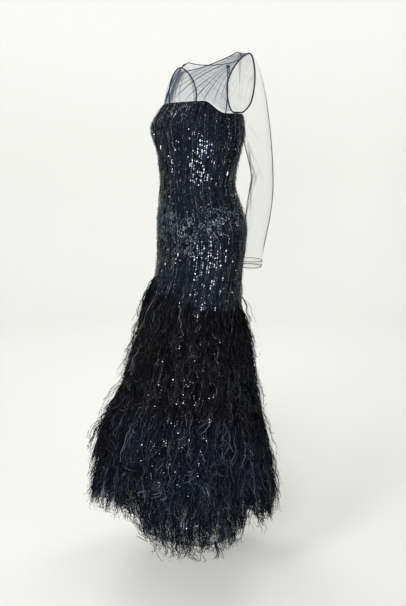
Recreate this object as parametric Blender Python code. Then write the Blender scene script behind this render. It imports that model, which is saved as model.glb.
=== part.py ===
"""Mermaid evening gown in its worn shape, with one closed solid for each sewn piece.

The origin lies midway between the two shoulder tops, +Z is up, the front faces -Y and the
wearer's left is +X. Angles run round the body in degrees, from the centre front (0)
through the wearer's left side (90) to the centre back (180).
"""
import math
import random
from collections import namedtuple

import bmesh
import bpy
from mathutils import Vector

# Thicknesses, gaps and the grid that the panels share
SEQUIN_WALL = 0.0018
TULLE_WALL = 0.0012
SEAM_GAP = 0.0003
COLUMN_STEP = 9
COLUMNS = 360 // COLUMN_STEP

# The body of the gown: one row for each section, in metres
Section = namedtuple("Section", "z half_width front back centre_y")
SECTIONS = [
    Section(-0.120, 0.1370, 0.104, 0.0650, -0.0200),
    Section(-0.150, 0.1455, 0.122, 0.0645, -0.0200),
    Section(-0.175, 0.1490, 0.134, 0.0710, -0.0200),
    Section(-0.205, 0.1500, 0.133, 0.0755, -0.0205),
    Section(-0.250, 0.1405, 0.124, 0.0680, -0.0235),
    Section(-0.300, 0.1255, 0.118, 0.0650, -0.0275),
    Section(-0.340, 0.1185, 0.115, 0.0730, -0.0300),
    Section(-0.390, 0.1350, 0.119, 0.0845, -0.0270),
    Section(-0.440, 0.1560, 0.122, 0.0885, -0.0235),
    Section(-0.500, 0.1650, 0.118, 0.0805, -0.0265),
    Section(-0.560, 0.1615, 0.116, 0.0780, -0.0330),
    Section(-0.620, 0.1575, 0.123, 0.0950, -0.0420),
    Section(-0.680, 0.1640, 0.129, 0.1110, -0.0560),
    Section(-0.760, 0.1820, 0.137, 0.1330, -0.0640),
    Section(-0.840, 0.2030, 0.153, 0.1500, -0.0720),
    Section(-0.940, 0.2260, 0.183, 0.1790, -0.0840),
    Section(-1.040, 0.2470, 0.219, 0.2080, -0.0910),
    Section(-1.140, 0.2610, 0.241, 0.2300, -0.0920),
    Section(-1.220, 0.2670, 0.254, 0.2360, -0.0900),
    Section(-1.330, 0.2690, 0.254, 0.2360, -0.0880),
]

# Heights of the panels' rows where the top edge and the hem are level
ROW_HEIGHTS = [
    -0.122, -0.148, -0.176, -0.207, -0.250, -0.298, -0.340, -0.388, -0.438, -0.498,
    -0.560, -0.620, -0.680, -0.755, -0.840, -0.930, -1.020, -1.105, -1.185, -1.255,
]
TOP_FADE_Z = -0.250
HEM_FADE_Z = -0.930

# Bust cups, shaped by the princess seams
CUP_ANGLE = 31
CUP_SPREAD = 17
CUP_Z = -0.188
CUP_HEIGHT = 0.042
CUP_RISE = 0.010

# Soft flutes of the flared skirt
FLUTE_COUNT = 8
FLUTE_RISE = 0.011
FLUTE_TURN = 23
FLUTE_TOP_Z = -0.700
FLUTE_FULL_Z = -1.150

# The strapless line dips from the bust to the underarm
TOP_DIP = 0.031
TOP_DIP_START = 48
TOP_DIP_END = 76

# A deep fold falls between the legs at the centre front
FOLD_DEPTH = 0.030
FOLD_SPREAD = 15

# The hem's rise above its level height, by angle: high in the front fold and at the left
# side, where the skirt's lobes part, and longest at the back
HEM_RISES = [
    (-180, -0.015), (-126, -0.008), (-63, 0.000), (-36, 0.008), (-18, 0.034), (0, 0.054),
    (18, 0.070), (27, 0.066), (36, 0.016), (45, 0.000), (90, 0.000),
    (99, 0.066), (108, 0.046), (117, 0.030), (135, 0.022), (162, -0.006), (180, -0.015),
]

# Panels: first and last seam angle, in degrees
PANELS = {
    "front_centre": (-27, 27),
    "side_front_left": (27, 90),
    "side_back_left": (90, 153),
    "back_left": (153, 180),
    "back_right": (180, 207),
    "side_back_right": (207, 270),
    "side_front_right": (270, 333),
}

# Zip at the centre back
ZIP_WIDTH = 0.0040
ZIP_THICKNESS = 0.0018
ZIP_FOOT_ROW = 9
ZIP_HEAD_Z = -0.0150
ZIP_BOW = 0.006

# Neck and shoulders
NECK_HALF_WIDTH = 0.120
NECK_FRONT_DEPTH = 0.066
NECK_FRONT_DROP = 0.037
NECK_BACK_DEPTH = 0.050
NECK_BACK_DROP = 0.012
SHOULDER_TIP = Vector((0.1670, 0.0020, -0.0105))
YOKE_FRONT_END = 81
YOKE_BACK_START = 108
YOKE_FRONT_COLUMNS = 44
YOKE_BACK_COLUMNS = 16
NECK_FRONT_SPANS = 18
NECK_BACK_SPANS = 8
SIDE_FADE = 5
TOP_GAP = 0.0004
YOKE_BOW = 0.005

# Gathers that fan out from each shoulder, a ridge on every other column
GATHER_RISE = 0.0024
GATHER_START = 0.10
GATHER_FADE = 0.80

# Armhole seam: one row for each point of its closed curve, wearer's left
Seam = namedtuple("Seam", "turn x y z")
ARMHOLE = [
    Seam(0, 0.1685, 0.0020, -0.0090),
    Seam(34, 0.1590, -0.0290, -0.0330),
    Seam(75, 0.1480, -0.0485, -0.0770),
    Seam(112, 0.1460, -0.0465, -0.1200),
    Seam(145, 0.1465, -0.0345, -0.1475),
    Seam(180, 0.1480, -0.0160, -0.1505),
    Seam(212, 0.1430, 0.0060, -0.1465),
    Seam(250, 0.1400, 0.0300, -0.1220),
    Seam(288, 0.1420, 0.0390, -0.0770),
    Seam(326, 0.1540, 0.0280, -0.0330),
]
BINDING_RADIUS = 0.0012
BINDING_SIDES = 5
BINDING_POINTS = 28

# Sleeve rings below the armhole: centre and radii, wearer's left arm
Ring = namedtuple("Ring", "x y z radius lean")
LEFT_RINGS = [
    Ring(0.1925, 0.0010, -0.160, 0.0370, 20),
    Ring(0.1990, 0.0035, -0.195, 0.0362, 12),
    Ring(0.2060, 0.0060, -0.235, 0.0340, 8),
    Ring(0.2135, 0.0090, -0.275, 0.0305, 6),
    Ring(0.2190, 0.0095, -0.308, 0.0285, 4),
    Ring(0.2210, 0.0060, -0.340, 0.0305, 0),
    Ring(0.2220, -0.0005, -0.380, 0.0325, 0),
    Ring(0.2205, -0.0065, -0.425, 0.0315, -2),
    Ring(0.2175, -0.0130, -0.475, 0.0290, -3),
    Ring(0.2145, -0.0185, -0.518, 0.0278, -3),
]
RIGHT_RINGS = [
    Ring(0.1925, -0.0010, -0.160, 0.0370, 20),
    Ring(0.1990, -0.0010, -0.195, 0.0362, 12),
    Ring(0.2060, -0.0005, -0.235, 0.0340, 8),
    Ring(0.2140, 0.0000, -0.275, 0.0305, 6),
    Ring(0.2200, -0.0020, -0.308, 0.0285, 4),
    Ring(0.2215, -0.0070, -0.340, 0.0305, 0),
    Ring(0.2210, -0.0120, -0.380, 0.0325, -2),
    Ring(0.2170, -0.0170, -0.425, 0.0315, -5),
    Ring(0.2110, -0.0220, -0.475, 0.0290, -5),
    Ring(0.2060, -0.0250, -0.518, 0.0278, -3),
]
SLEEVE_SIDES = 14
CAP_ROWS = 7
CAP_PULL_OUT = 0.105
CAP_PULL_DOWN = 0.090
CUFF_HEIGHT = 0.0180
CUFF_FLARE = 1.03
STUD_RADIUS = 0.0026
STUD_HEIGHT = 0.0014
STUD_PLACES = (0.28, 0.72)

# Bead rosettes of the hip embroidery: angle round the body and height
Rosette = namedtuple("Rosette", "angle z radius")
ROSETTES = [
    Rosette(64, -0.412, 0.0095),
    Rosette(62, -0.444, 0.0080),
    Rosette(34, -0.452, 0.0105),
    Rosette(26, -0.492, 0.0090),
    Rosette(-2, -0.404, 0.0095),
    Rosette(14, -0.428, 0.0080),
    Rosette(-2, -0.464, 0.0085),
    Rosette(87, -0.420, 0.0080),
    Rosette(-40, -0.430, 0.0095),
    Rosette(-70, -0.450, 0.0085),
    Rosette(145, -0.440, 0.0095),
    Rosette(215, -0.455, 0.0095),
]
ROSETTE_RISE = 0.0036
ROSETTE_SIDES = 10
ROSETTE_CROWN = 0.6

# Feather tiers: row of the panels' grid (a fraction lies between rows) and lock length
Tier = namedtuple("Tier", "row slant length lean")
TIERS = [
    Tier(11.75, 0.50, 0.145, 8),
    Tier(13.30, 0.35, 0.160, 8),
    Tier(15.02, 0.20, 0.165, 9),
    Tier(16.10, 0.10, 0.165, 8),
    Tier(17.50, 0.00, 0.160, 7),
]
SLANT_ANGLE = -33
TAPE_HEIGHT = 0.0080
TAPE_WALL = 0.0022
TAPE_GAP = 0.0009
LOCK_WIDTH = 0.013
LOCK_TIP_SWING = 0.018
LOCK_BEND = 0.58
LOCK_WAIST = 0.62
FOLD_LEAN = 7
FRINGE_SEED = 7

# Zip slider and pull tab
SLIDER_WIDTH = 0.0062
SLIDER_HEIGHT = 0.0085
SLIDER_DEPTH = 0.0022
SLIDER_LUG = 0.0012
SLIDER_SEAT = 0.0012
LUG_HEIGHT = 0.0030
PIN_REACH = 0.0068
PIN_RADIUS = 0.0006
PIN_SIDES = 8
EYE_INNER = 0.0011
EYE_OUTER = 0.0022
EYE_SIDES = 12
PULL_DROP = 0.0025
PULL_LENGTH = 0.018
PULL_WIDTH = 0.0044
PULL_THICKNESS = 0.0012

MATERIALS = {
    "sequinned_tulle": ((0.016, 0.022, 0.040), 0.32, 0.25),
    "yoke_tulle": ((0.040, 0.055, 0.105), 0.80, 0.0),
    "sleeve_net": ((0.52, 0.54, 0.60), 0.85, 0.0),
    "binding": ((0.014, 0.018, 0.034), 0.65, 0.0),
    "ostrich": ((0.018, 0.019, 0.028), 0.75, 0.0),
    "beads": ((0.030, 0.045, 0.075), 0.20, 0.40),
    "zip_metal": ((0.060, 0.065, 0.080), 0.35, 0.9),
}


def clear_scene():
    """Start from an empty scene."""
    for item in list(bpy.data.objects):
        bpy.data.objects.remove(item, do_unlink=True)


def make_materials():
    """Make one Principled material for each finish."""
    made = {}
    for name, (colour, roughness, metallic) in MATERIALS.items():
        material = bpy.data.materials.new(name)
        material.use_nodes = True
        shader = material.node_tree.nodes["Principled BSDF"]
        shader.inputs["Base Color"].default_value = (*colour, 1.0)
        shader.inputs["Roughness"].default_value = roughness
        shader.inputs["Metallic"].default_value = metallic
        made[name] = material
    return made


def smooth_step(value):
    """Ease from 0 to 1 with level ends."""
    value = min(1.0, max(0.0, value))
    return value * value * (3.0 - 2.0 * value)


def hermite(start, end, leave, arrive, share):
    """Return a point of the cubic between two points with end tangents."""
    square = share * share
    cube = square * share
    return (start * (2 * cube - 3 * square + 1) + leave * (cube - 2 * square + share)
            + end * (3 * square - 2 * cube) + arrive * (cube - square))


def section_at(z):
    """Read the body's section at a height, smooth between the table's rows."""
    rows = SECTIONS
    z = min(rows[0].z, max(rows[-1].z, z))
    low = 0
    while low < len(rows) - 2 and z < rows[low + 1].z:
        low += 1
    before, after = rows[max(low - 1, 0)], rows[min(low + 2, len(rows) - 1)]
    upper, lower = rows[low], rows[low + 1]
    step = lower.z - upper.z
    share = (z - upper.z) / step
    values = []
    for column in range(1, 5):
        leave = (lower[column] - before[column]) / (lower.z - before.z) * step
        arrive = (after[column] - upper[column]) / (after.z - upper.z) * step
        values.append(hermite(upper[column], lower[column], leave, arrive, share))
    return Section(z, *values)


def angle_between(angle, other):
    """Return the smallest turn between two angles in degrees."""
    return abs((angle - other + 180) % 360 - 180)


def body_point(angle, z):
    """Return the gown's outer surface at an angle and a height."""
    section = section_at(z)
    turn = math.radians(angle)
    depth = section.front if math.cos(turn) > 0 else section.back
    x = section.half_width * math.sin(turn)
    y = section.centre_y - depth * math.cos(turn)
    outward = Vector((math.sin(turn) / section.half_width, -math.cos(turn) / depth, 0)).normalized()
    rise = 0.0
    for cup in (CUP_ANGLE, -CUP_ANGLE):
        across = angle_between(angle, cup) / CUP_SPREAD
        along = (z - CUP_Z) / CUP_HEIGHT
        rise += CUP_RISE * math.exp(-across * across - along * along)
    flare = smooth_step((z - FLUTE_TOP_Z) / (FLUTE_FULL_Z - FLUTE_TOP_Z))
    rise += FLUTE_RISE * flare * math.cos(math.radians(FLUTE_COUNT * (angle - FLUTE_TURN)))
    across = angle_between(angle, 0) / FOLD_SPREAD
    rise -= FOLD_DEPTH * flare * math.exp(-across * across)
    return Vector((x, y, z)) + outward * rise


def top_drop(angle):
    """Return how far the bodice's top edge dips below its height at the bust."""
    turn = angle_between(angle, 0)
    return TOP_DIP * smooth_step((turn - TOP_DIP_START) / (TOP_DIP_END - TOP_DIP_START))


def hem_rise(angle):
    """Return how far the hem lies above its level height."""
    angle = (angle + 180) % 360 - 180
    for (start, low), (end, high) in zip(HEM_RISES, HEM_RISES[1:]):
        if angle <= end:
            return low + (high - low) * smooth_step((angle - start) / (end - start))
    return HEM_RISES[-1][1]


def row_height(row, angle):
    """Return the height of a whole grid row at an angle."""
    level = ROW_HEIGHTS[row]
    near_top = max(0.0, (level - TOP_FADE_Z) / (ROW_HEIGHTS[0] - TOP_FADE_Z))
    near_hem = max(0.0, (HEM_FADE_Z - level) / (HEM_FADE_Z - ROW_HEIGHTS[-1]))
    return level - top_drop(angle) * near_top + hem_rise(angle) * near_hem


def grid_point(row, angle):
    """Return a point on the faceted panels, row and angle both free of the grid."""
    low_row = min(int(math.floor(row)), len(ROW_HEIGHTS) - 2)
    low_angle = COLUMN_STEP * math.floor(angle / COLUMN_STEP)
    down = row - low_row
    along = (angle - low_angle) / COLUMN_STEP
    corners = []
    for r in (low_row, low_row + 1):
        for a in (low_angle, low_angle + COLUMN_STEP):
            corners.append(body_point(a, row_height(r, a)))
    upper_left, upper_right, lower_left, lower_right = corners
    if along >= down:
        return upper_left + (upper_right - upper_left) * along + (lower_right - upper_right) * down
    return upper_left + (lower_left - upper_left) * down + (lower_right - lower_left) * along


def grid_normal(row, angle):
    """Return the outward direction of the smooth surface near a grid point."""
    here = grid_point(row, angle).z
    across = body_point(angle + 2, here) - body_point(angle - 2, here)
    down = body_point(angle, here - 0.004) - body_point(angle, here + 0.004)
    return down.cross(across).normalized()


def finish_mesh(name, mesh_data, material, collection):
    """Weld, turn the faces outwards and link the object."""
    bmesh.ops.remove_doubles(mesh_data, verts=mesh_data.verts, dist=0.00001)
    bmesh.ops.recalc_face_normals(mesh_data, faces=mesh_data.faces)
    mesh = bpy.data.meshes.new(name)
    mesh_data.to_mesh(mesh)
    mesh_data.free()
    mesh.shade_smooth()
    mesh.set_sharp_from_angle(angle=math.radians(40))
    made = bpy.data.objects.new(name, mesh)
    made.data.materials.append(material)
    collection.objects.link(made)
    return made


def wall_from_grids(name, outer, inner, closed, material, collection):
    """Make a closed wall from two grids of points, open or closed round."""
    mesh_data = bmesh.new()
    outside = [[mesh_data.verts.new(point) for point in row] for row in outer]
    inside = [[mesh_data.verts.new(point) for point in row] for row in inner]
    rows, columns = len(outer), len(outer[0])
    spans = columns if closed else columns - 1
    for r in range(rows - 1):
        for c in range(spans):
            n = (c + 1) % columns
            for side in (outside, inside):
                mesh_data.faces.new((side[r][c], side[r][n], side[r + 1][n]))
                mesh_data.faces.new((side[r][c], side[r + 1][n], side[r + 1][c]))
    for r in (0, rows - 1):
        for c in range(spans):
            n = (c + 1) % columns
            mesh_data.faces.new((outside[r][c], inside[r][c], inside[r][n], outside[r][n]))
    if not closed:
        for c in (0, columns - 1):
            for r in range(rows - 1):
                mesh_data.faces.new((outside[r][c], outside[r + 1][c], inside[r + 1][c], inside[r][c]))
    return finish_mesh(name, mesh_data, material, collection)


def seam_shift(row, angle, towards, gap):
    """Return an angle moved off a seam, towards a panel's middle, by a gap in metres."""
    step = 0.5 * towards
    reach = (grid_point(row, angle + step) - grid_point(row, angle)).length
    return angle + step * gap / reach


def make_panel(name, first, last, material, collection):
    """Make one long panel from the bodice's top edge to the hem."""
    outer, inner = [], []
    for row in range(len(ROW_HEIGHTS)):
        beside_zip = 0.5 * ZIP_WIDTH + SEAM_GAP if row <= ZIP_FOOT_ROW else 0.5 * SEAM_GAP
        first_gap = beside_zip if first == 180 else 0.5 * SEAM_GAP
        last_gap = beside_zip if last == 180 else 0.5 * SEAM_GAP
        angles = [first + COLUMN_STEP * i for i in range((last - first) // COLUMN_STEP + 1)]
        angles[0] = seam_shift(row, first, 1, first_gap)
        angles[-1] = seam_shift(row, last, -1, last_gap)
        points = [grid_point(row, angle) for angle in angles]
        normals = [grid_normal(row, angle) for angle in angles]
        outer.append(points)
        inner.append([p - n * SEQUIN_WALL for p, n in zip(points, normals)])
    return wall_from_grids(name, outer, inner, False, material, collection)


def armhole_point(turn):
    """Return a point on the smooth closed armhole seam, wearer's left."""
    turn = turn % 360
    count = len(ARMHOLE)
    low = max(i for i in range(count) if ARMHOLE[i].turn <= turn)
    rows = [ARMHOLE[(low + k) % count] for k in (-1, 0, 1, 2)]
    start = rows[1].turn
    span = (rows[2].turn - start) % 360
    share = (turn - start) / span
    points = [Vector((row.x, row.y, row.z)) for row in rows]
    before = (start - rows[0].turn) % 360
    after = (rows[3].turn - rows[2].turn) % 360
    leave = (points[2] - points[0]) * (span / (before + span))
    arrive = (points[3] - points[1]) * (span / (after + span))
    return hermite(points[1], points[2], leave, arrive, share)


def neck_front_point(turn):
    """Return the front neckline at a turn from the centre, 0 to 90 degrees."""
    side = math.radians(turn)
    return Vector((NECK_HALF_WIDTH * math.sin(side), -NECK_FRONT_DEPTH * math.cos(side),
                   -NECK_FRONT_DROP * math.cos(side)))


def neck_back_point(turn):
    """Return the back neckline at a turn from the centre, 0 to 90 degrees."""
    side = math.radians(turn)
    return Vector((NECK_HALF_WIDTH * math.sin(side), NECK_BACK_DEPTH * math.cos(side),
                   -NECK_BACK_DROP * math.cos(side)))


def mirrored(point):
    """Return a point on the other side of the body."""
    return Vector((-point.x, point.y, point.z))


def edged_patch(bottom, top, left, right, across, up):
    """Return a point of the surface ruled from bottom to top, bowed to meet its sides."""
    point = bottom(across).lerp(top(across), up)
    left_bow = left(up) - bottom(0).lerp(top(0), up)
    right_bow = right(up) - bottom(1).lerp(top(1), up)
    return point + left_bow * (1 - across) ** SIDE_FADE + right_bow * across ** SIDE_FADE


def shoulder_line(share, inset):
    """Return a point from the neck's side to the shoulder tip, inset from both."""
    start = Vector((NECK_HALF_WIDTH + inset, 0, 0))
    end = SHOULDER_TIP - Vector((inset, 0, 0))
    return start.lerp(end, share)


def side_edge(first_turn, last_turn, inset, share):
    """Return the yoke's edge along the armhole, inset from the seam towards the centre."""
    point = armhole_point(first_turn + (last_turn - first_turn) * share)
    return point - Vector((inset, 0, 0))


def front_top_edge(share):
    """Return the front yoke's top edge: shoulder, neckline, shoulder."""
    side = 2 * share - 1
    reach = abs(side)
    clear = BINDING_RADIUS + 2 * SEAM_GAP
    neck_share = NECK_FRONT_SPANS / YOKE_FRONT_COLUMNS
    if reach <= neck_share:
        turn = 90 * reach / neck_share
        point = neck_front_point(turn)
        aside = math.sin(math.radians(turn))
        point.x += 3 * SEAM_GAP * aside
        point.y -= SEAM_GAP
        point.z -= clear + 3 * SEAM_GAP * aside
    else:
        point = shoulder_line((reach - neck_share) / (1 - neck_share), clear)
        point.y -= SEAM_GAP
    return point if side >= 0 else mirrored(point)


def bodice_top(angle, clear):
    """Return the faceted top edge of the panels, raised by a gap."""
    return grid_point(0, angle) + Vector((0, 0, clear))


def gather_rise(column, first, last, share_down):
    """Return the rise of the gathers between two columns, level with the cloth at both."""
    if not first < column < last or (column - first) % 2 == 0:
        return 0.0
    fade_out = smooth_step((share_down - GATHER_START) / (GATHER_FADE - GATHER_START))
    return GATHER_RISE * smooth_step(share_down / GATHER_START) * (1.0 - fade_out)


def grid_normals(points):
    """Return the direction across a grid's surface at each of its points."""
    rows, columns = len(points), len(points[0])
    found = []
    for r in range(rows):
        line = []
        for c in range(columns):
            along = points[r][min(c + 1, columns - 1)] - points[r][max(c - 1, 0)]
            up = points[min(r + 1, rows - 1)][c] - points[max(r - 1, 0)][c]
            line.append(along.cross(up).normalized())
        found.append(line)
    return found


def yoke_wall(name, points, shoulder, material, collection):
    """Make a thin tulle wall inside a grid of outer points, square to the shoulder seam."""
    normals = grid_normals(points)
    for c in shoulder:
        normals[-1][c].y = 0.0
        normals[-1][c].normalize()
    inner = []
    for line, directions in zip(points, normals):
        inner.append([p - n * TULLE_WALL for p, n in zip(line, directions)])
    return wall_from_grids(name, points, inner, False, material, collection)


def make_front_yoke(material, collection):
    """Make the front yoke, gathered into both shoulders."""
    columns, rows = YOKE_FRONT_COLUMNS, 9
    gathered = (columns - NECK_FRONT_SPANS) // 2
    inset = BINDING_RADIUS + 2 * SEAM_GAP

    def bottom(share):
        return bodice_top(-YOKE_FRONT_END + 2 * YOKE_FRONT_END * share, TOP_GAP)

    def right_side(share):
        return side_edge(147, 3, inset, share)

    def left_side(share):
        return mirrored(right_side(share))

    points = []
    for r in range(rows + 1):
        up = r / rows
        line = []
        for c in range(columns + 1):
            share = c / columns
            point = edged_patch(bottom, front_top_edge, left_side, right_side, share, up)
            from_side = min(c, columns - c)
            point.y -= gather_rise(from_side, 0, gathered, 1 - up)
            point.y -= YOKE_BOW * math.sin(math.pi * share) * math.sin(math.pi * up)
            line.append(point)
        points.append(line)
    shoulder = [c for c in range(columns + 1) if min(c, columns - c) <= gathered]
    return yoke_wall("yoke_front", points, shoulder, material, collection)


def make_back_yoke(side, material, collection):
    """Make one half of the back yoke, from the armhole to the zip."""
    columns, rows = YOKE_BACK_COLUMNS, 8
    gathered = columns - NECK_BACK_SPANS
    inset = BINDING_RADIUS + 2 * SEAM_GAP
    beside_zip = 0.5 * ZIP_WIDTH + SEAM_GAP
    neck_foot = neck_back_point(0) + Vector((beside_zip, 0, -inset))

    def bottom(share):
        last = seam_shift(0, 180, -1, beside_zip)
        return bodice_top(YOKE_BACK_START + (last - YOKE_BACK_START) * share, TOP_GAP)

    def top(share):
        turned = gathered / columns
        if share < turned:
            point = shoulder_line(1 - share / turned, inset)
        else:
            point = neck_back_point(90 * (1 - share) / (1 - turned))
            point.x = max(point.x, beside_zip)
            point.z -= inset + SEAM_GAP
        point.y += SEAM_GAP
        return point

    def armhole_side(share):
        return side_edge(215, 357, 1.3 * inset, share)

    def zip_side(share):
        foot = bottom(1)
        bow = Vector((0, ZIP_BOW * math.sin(math.pi * share), 0))
        return foot.lerp(neck_foot + Vector((0, SEAM_GAP, 0)), share) + bow

    points = []
    for r in range(rows + 1):
        line = []
        for c in range(columns + 1):
            point = edged_patch(bottom, top, armhole_side, zip_side, c / columns, r / rows)
            point.y += gather_rise(c, 0, gathered, 1 - r / rows)
            line.append(point)
        points.append(line)
    shoulder = list(range(gathered + 1))
    if side < 0:
        points = [[mirrored(point) for point in reversed(line)] for line in points]
        shoulder = [columns - c for c in shoulder]
    name = "yoke_back_left" if side > 0 else "yoke_back_right"
    return yoke_wall(name, points, shoulder, material, collection)


def sweep_ring(centre, tangent, guide, radius, sides):
    """Return the points of a small ring square to a path."""
    across = tangent.cross(guide).normalized()
    up = across.cross(tangent).normalized()
    ring = []
    for i in range(sides):
        turn = 2 * math.pi * i / sides
        ring.append(centre + (across * math.cos(turn) + up * math.sin(turn)) * radius)
    return ring


def make_cord_loop(name, path, closed, radius, guide, material, collection):
    """Make a thin bound edge along a path of points."""
    mesh_data = bmesh.new()
    count = len(path)
    rings = []
    for i, centre in enumerate(path):
        before = path[i - 1] if closed or i > 0 else path[i]
        after = path[(i + 1) % count] if closed or i < count - 1 else path[i]
        ring = sweep_ring(centre, (after - before).normalized(), guide, radius, BINDING_SIDES)
        rings.append([mesh_data.verts.new(point) for point in ring])
    spans = count if closed else count - 1
    for i in range(spans):
        here, there = rings[i], rings[(i + 1) % count]
        for k in range(BINDING_SIDES):
            n = (k + 1) % BINDING_SIDES
            mesh_data.faces.new((here[k], here[n], there[n], there[k]))
    if not closed:
        mesh_data.faces.new(rings[0])
        mesh_data.faces.new(rings[-1])
    return finish_mesh(name, mesh_data, material, collection)


def make_neck_binding(material, collection):
    """Make the rolled neck edge, open at the zip."""
    path = []
    first_turn = math.degrees(math.asin((0.5 * ZIP_WIDTH + SEAM_GAP) / NECK_HALF_WIDTH))
    back_step = (90 - first_turn) / NECK_BACK_SPANS
    for i in range(NECK_BACK_SPANS + 1):
        path.append(neck_back_point(first_turn + back_step * i))
    for i in range(1, NECK_FRONT_SPANS + 1):
        turn = 90 - 180 * i / NECK_FRONT_SPANS
        point = neck_front_point(abs(turn))
        path.append(point if turn >= 0 else mirrored(point))
    for i in range(1, NECK_BACK_SPANS + 1):
        path.append(mirrored(neck_back_point(90 - back_step * i)))
    return make_cord_loop("neck_binding", path, False, BINDING_RADIUS, Vector((0, 0, 1)),
                          material, collection)


def make_armhole_binding(side, material, collection):
    """Make the bound armhole seam."""
    path = [armhole_point(360 * i / BINDING_POINTS) for i in range(BINDING_POINTS)]
    if side < 0:
        path = [mirrored(point) for point in path]
    name = "armhole_binding_left" if side > 0 else "armhole_binding_right"
    return make_cord_loop(name, path, True, BINDING_RADIUS, Vector((1, 0, 0)), material, collection)


def arm_ring(ring, inset, turn):
    """Return a point on a sleeve ring; turn 0 is the outer side, 90 the front."""
    side = math.radians(turn)
    lean = math.radians(ring.lean)
    out = Vector((math.cos(lean), 0, math.sin(lean)))
    radius = ring.radius - inset
    return (Vector((ring.x, ring.y, ring.z)) + out * radius * math.cos(side)
            + Vector((0, -1, 0)) * radius * math.sin(side))


def cap_point(rings, turn, share, inset):
    """Return a point on the sleeve's cap, from the armhole to the first ring."""
    start = armhole_point(turn) + Vector((BINDING_RADIUS + 2 * SEAM_GAP, 0, 0))
    centre = Vector((start.x, -0.004, -0.080))
    inwards = (centre - start).normalized()
    start = start + inwards * inset
    end = arm_ring(rings[0], inset, turn)
    upper = 0.5 + 0.5 * math.cos(math.radians(turn))
    leave = Vector((CAP_PULL_OUT * (0.25 + 0.75 * upper), 0, -0.02 * upper))
    arrive = Vector((0.010, 0, -CAP_PULL_DOWN * (0.25 + 0.75 * upper)))
    return hermite(start, end, leave, arrive, share)


def make_sleeve(side, rings, material, collection):
    """Make one long sleeve as an open tube from the armhole to the cuff seam."""
    outer, inner = [], []
    turns = [360 * i / SLEEVE_SIDES for i in range(SLEEVE_SIDES)]
    for row in range(CAP_ROWS):
        share = row / CAP_ROWS
        outer.append([cap_point(rings, turn, share, 0.0) for turn in turns])
        inner.append([cap_point(rings, turn, share, TULLE_WALL) for turn in turns])
    for ring in rings:
        outer.append([arm_ring(ring, 0.0, turn) for turn in turns])
        inner.append([arm_ring(ring, TULLE_WALL, turn) for turn in turns])
    if side < 0:
        outer = [[mirrored(point) for point in line] for line in outer]
        inner = [[mirrored(point) for point in line] for line in inner]
    name = "sleeve_left" if side > 0 else "sleeve_right"
    return wall_from_grids(name, outer, inner, True, material, collection)


def cuff_rings(rings):
    """Return the two rings of the cuff, just past the sleeve's last ring."""
    last, before = rings[-1], rings[-2]
    step = Vector((last.x - before.x, last.y - before.y, last.z - before.z)).normalized()
    start = Vector((last.x, last.y, last.z)) + step * SEAM_GAP * 1.5
    end = start + step * CUFF_HEIGHT
    return (Ring(start.x, start.y, start.z, last.radius, last.lean),
            Ring(end.x, end.y, end.z, last.radius * CUFF_FLARE, last.lean))


def make_cuff(side, rings, material, collection):
    """Make the turned and stitched cuff hem."""
    outer, inner = [], []
    turns = [360 * i / SLEEVE_SIDES for i in range(SLEEVE_SIDES)]
    for ring in cuff_rings(rings):
        outer.append([arm_ring(ring, 0.0, turn) for turn in turns])
        inner.append([arm_ring(ring, TULLE_WALL * 1.3, turn) for turn in turns])
    if side < 0:
        outer = [[mirrored(point) for point in line] for line in outer]
        inner = [[mirrored(point) for point in line] for line in inner]
    name = "cuff_left" if side > 0 else "cuff_right"
    return wall_from_grids(name, outer, inner, True, material, collection)


def make_disc(name, centre, normal, radius, height, sides, top_share, material, collection):
    """Make a low disc or dome that stands on a surface."""
    mesh_data = bmesh.new()
    bmesh.ops.create_cone(mesh_data, cap_ends=True, segments=sides, radius1=radius,
                          radius2=radius * top_share, depth=height)
    turn = Vector((0, 0, 1)).rotation_difference(normal).to_matrix().to_4x4()
    bmesh.ops.transform(mesh_data, matrix=turn, verts=mesh_data.verts)
    bmesh.ops.translate(mesh_data, vec=centre + normal * 0.5 * height, verts=mesh_data.verts)
    return finish_mesh(name, mesh_data, material, collection)


def make_studs(side, rings, material, collection):
    """Make the two press studs at the back of a cuff's opening."""
    upper, lower = cuff_rings(rings)
    label = "left" if side > 0 else "right"
    for number, share in enumerate(STUD_PLACES, start=1):
        turn = 360 * 11 / SLEEVE_SIDES + 180 / SLEEVE_SIDES
        point = arm_ring(upper, 0.0, turn).lerp(arm_ring(lower, 0.0, turn), share)
        centre = Vector((upper.x, upper.y, upper.z)).lerp(Vector((lower.x, lower.y, lower.z)), share)
        normal = point - centre
        normal.z = 0
        normal.normalize()
        seat = point + normal * SEAM_GAP
        if side < 0:
            seat, normal = mirrored(seat), mirrored(normal)
        make_disc(f"stud_{label}_{number}", seat, normal, STUD_RADIUS, STUD_HEIGHT, 10, 0.8,
                  material, collection)


def make_rosettes(material, collection):
    """Make the large bead rosettes, seated on the hip's panels."""
    for number, rosette in enumerate(ROSETTES, start=1):
        row = 0
        while ROW_HEIGHTS[row + 1] > rosette.z:
            row += 1
        row += (rosette.z - ROW_HEIGHTS[row]) / (ROW_HEIGHTS[row + 1] - ROW_HEIGHTS[row])
        normal = grid_normal(row, rosette.angle)
        half_width = section_at(rosette.z).half_width
        rounding = rosette.radius ** 2 / (1.2 * half_width)
        seat = grid_point(row, rosette.angle) + normal * (SEAM_GAP + rounding)
        make_disc(f"rosette_{number:02d}", seat, normal, rosette.radius, ROSETTE_RISE,
                  ROSETTE_SIDES, ROSETTE_CROWN, material, collection)


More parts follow.
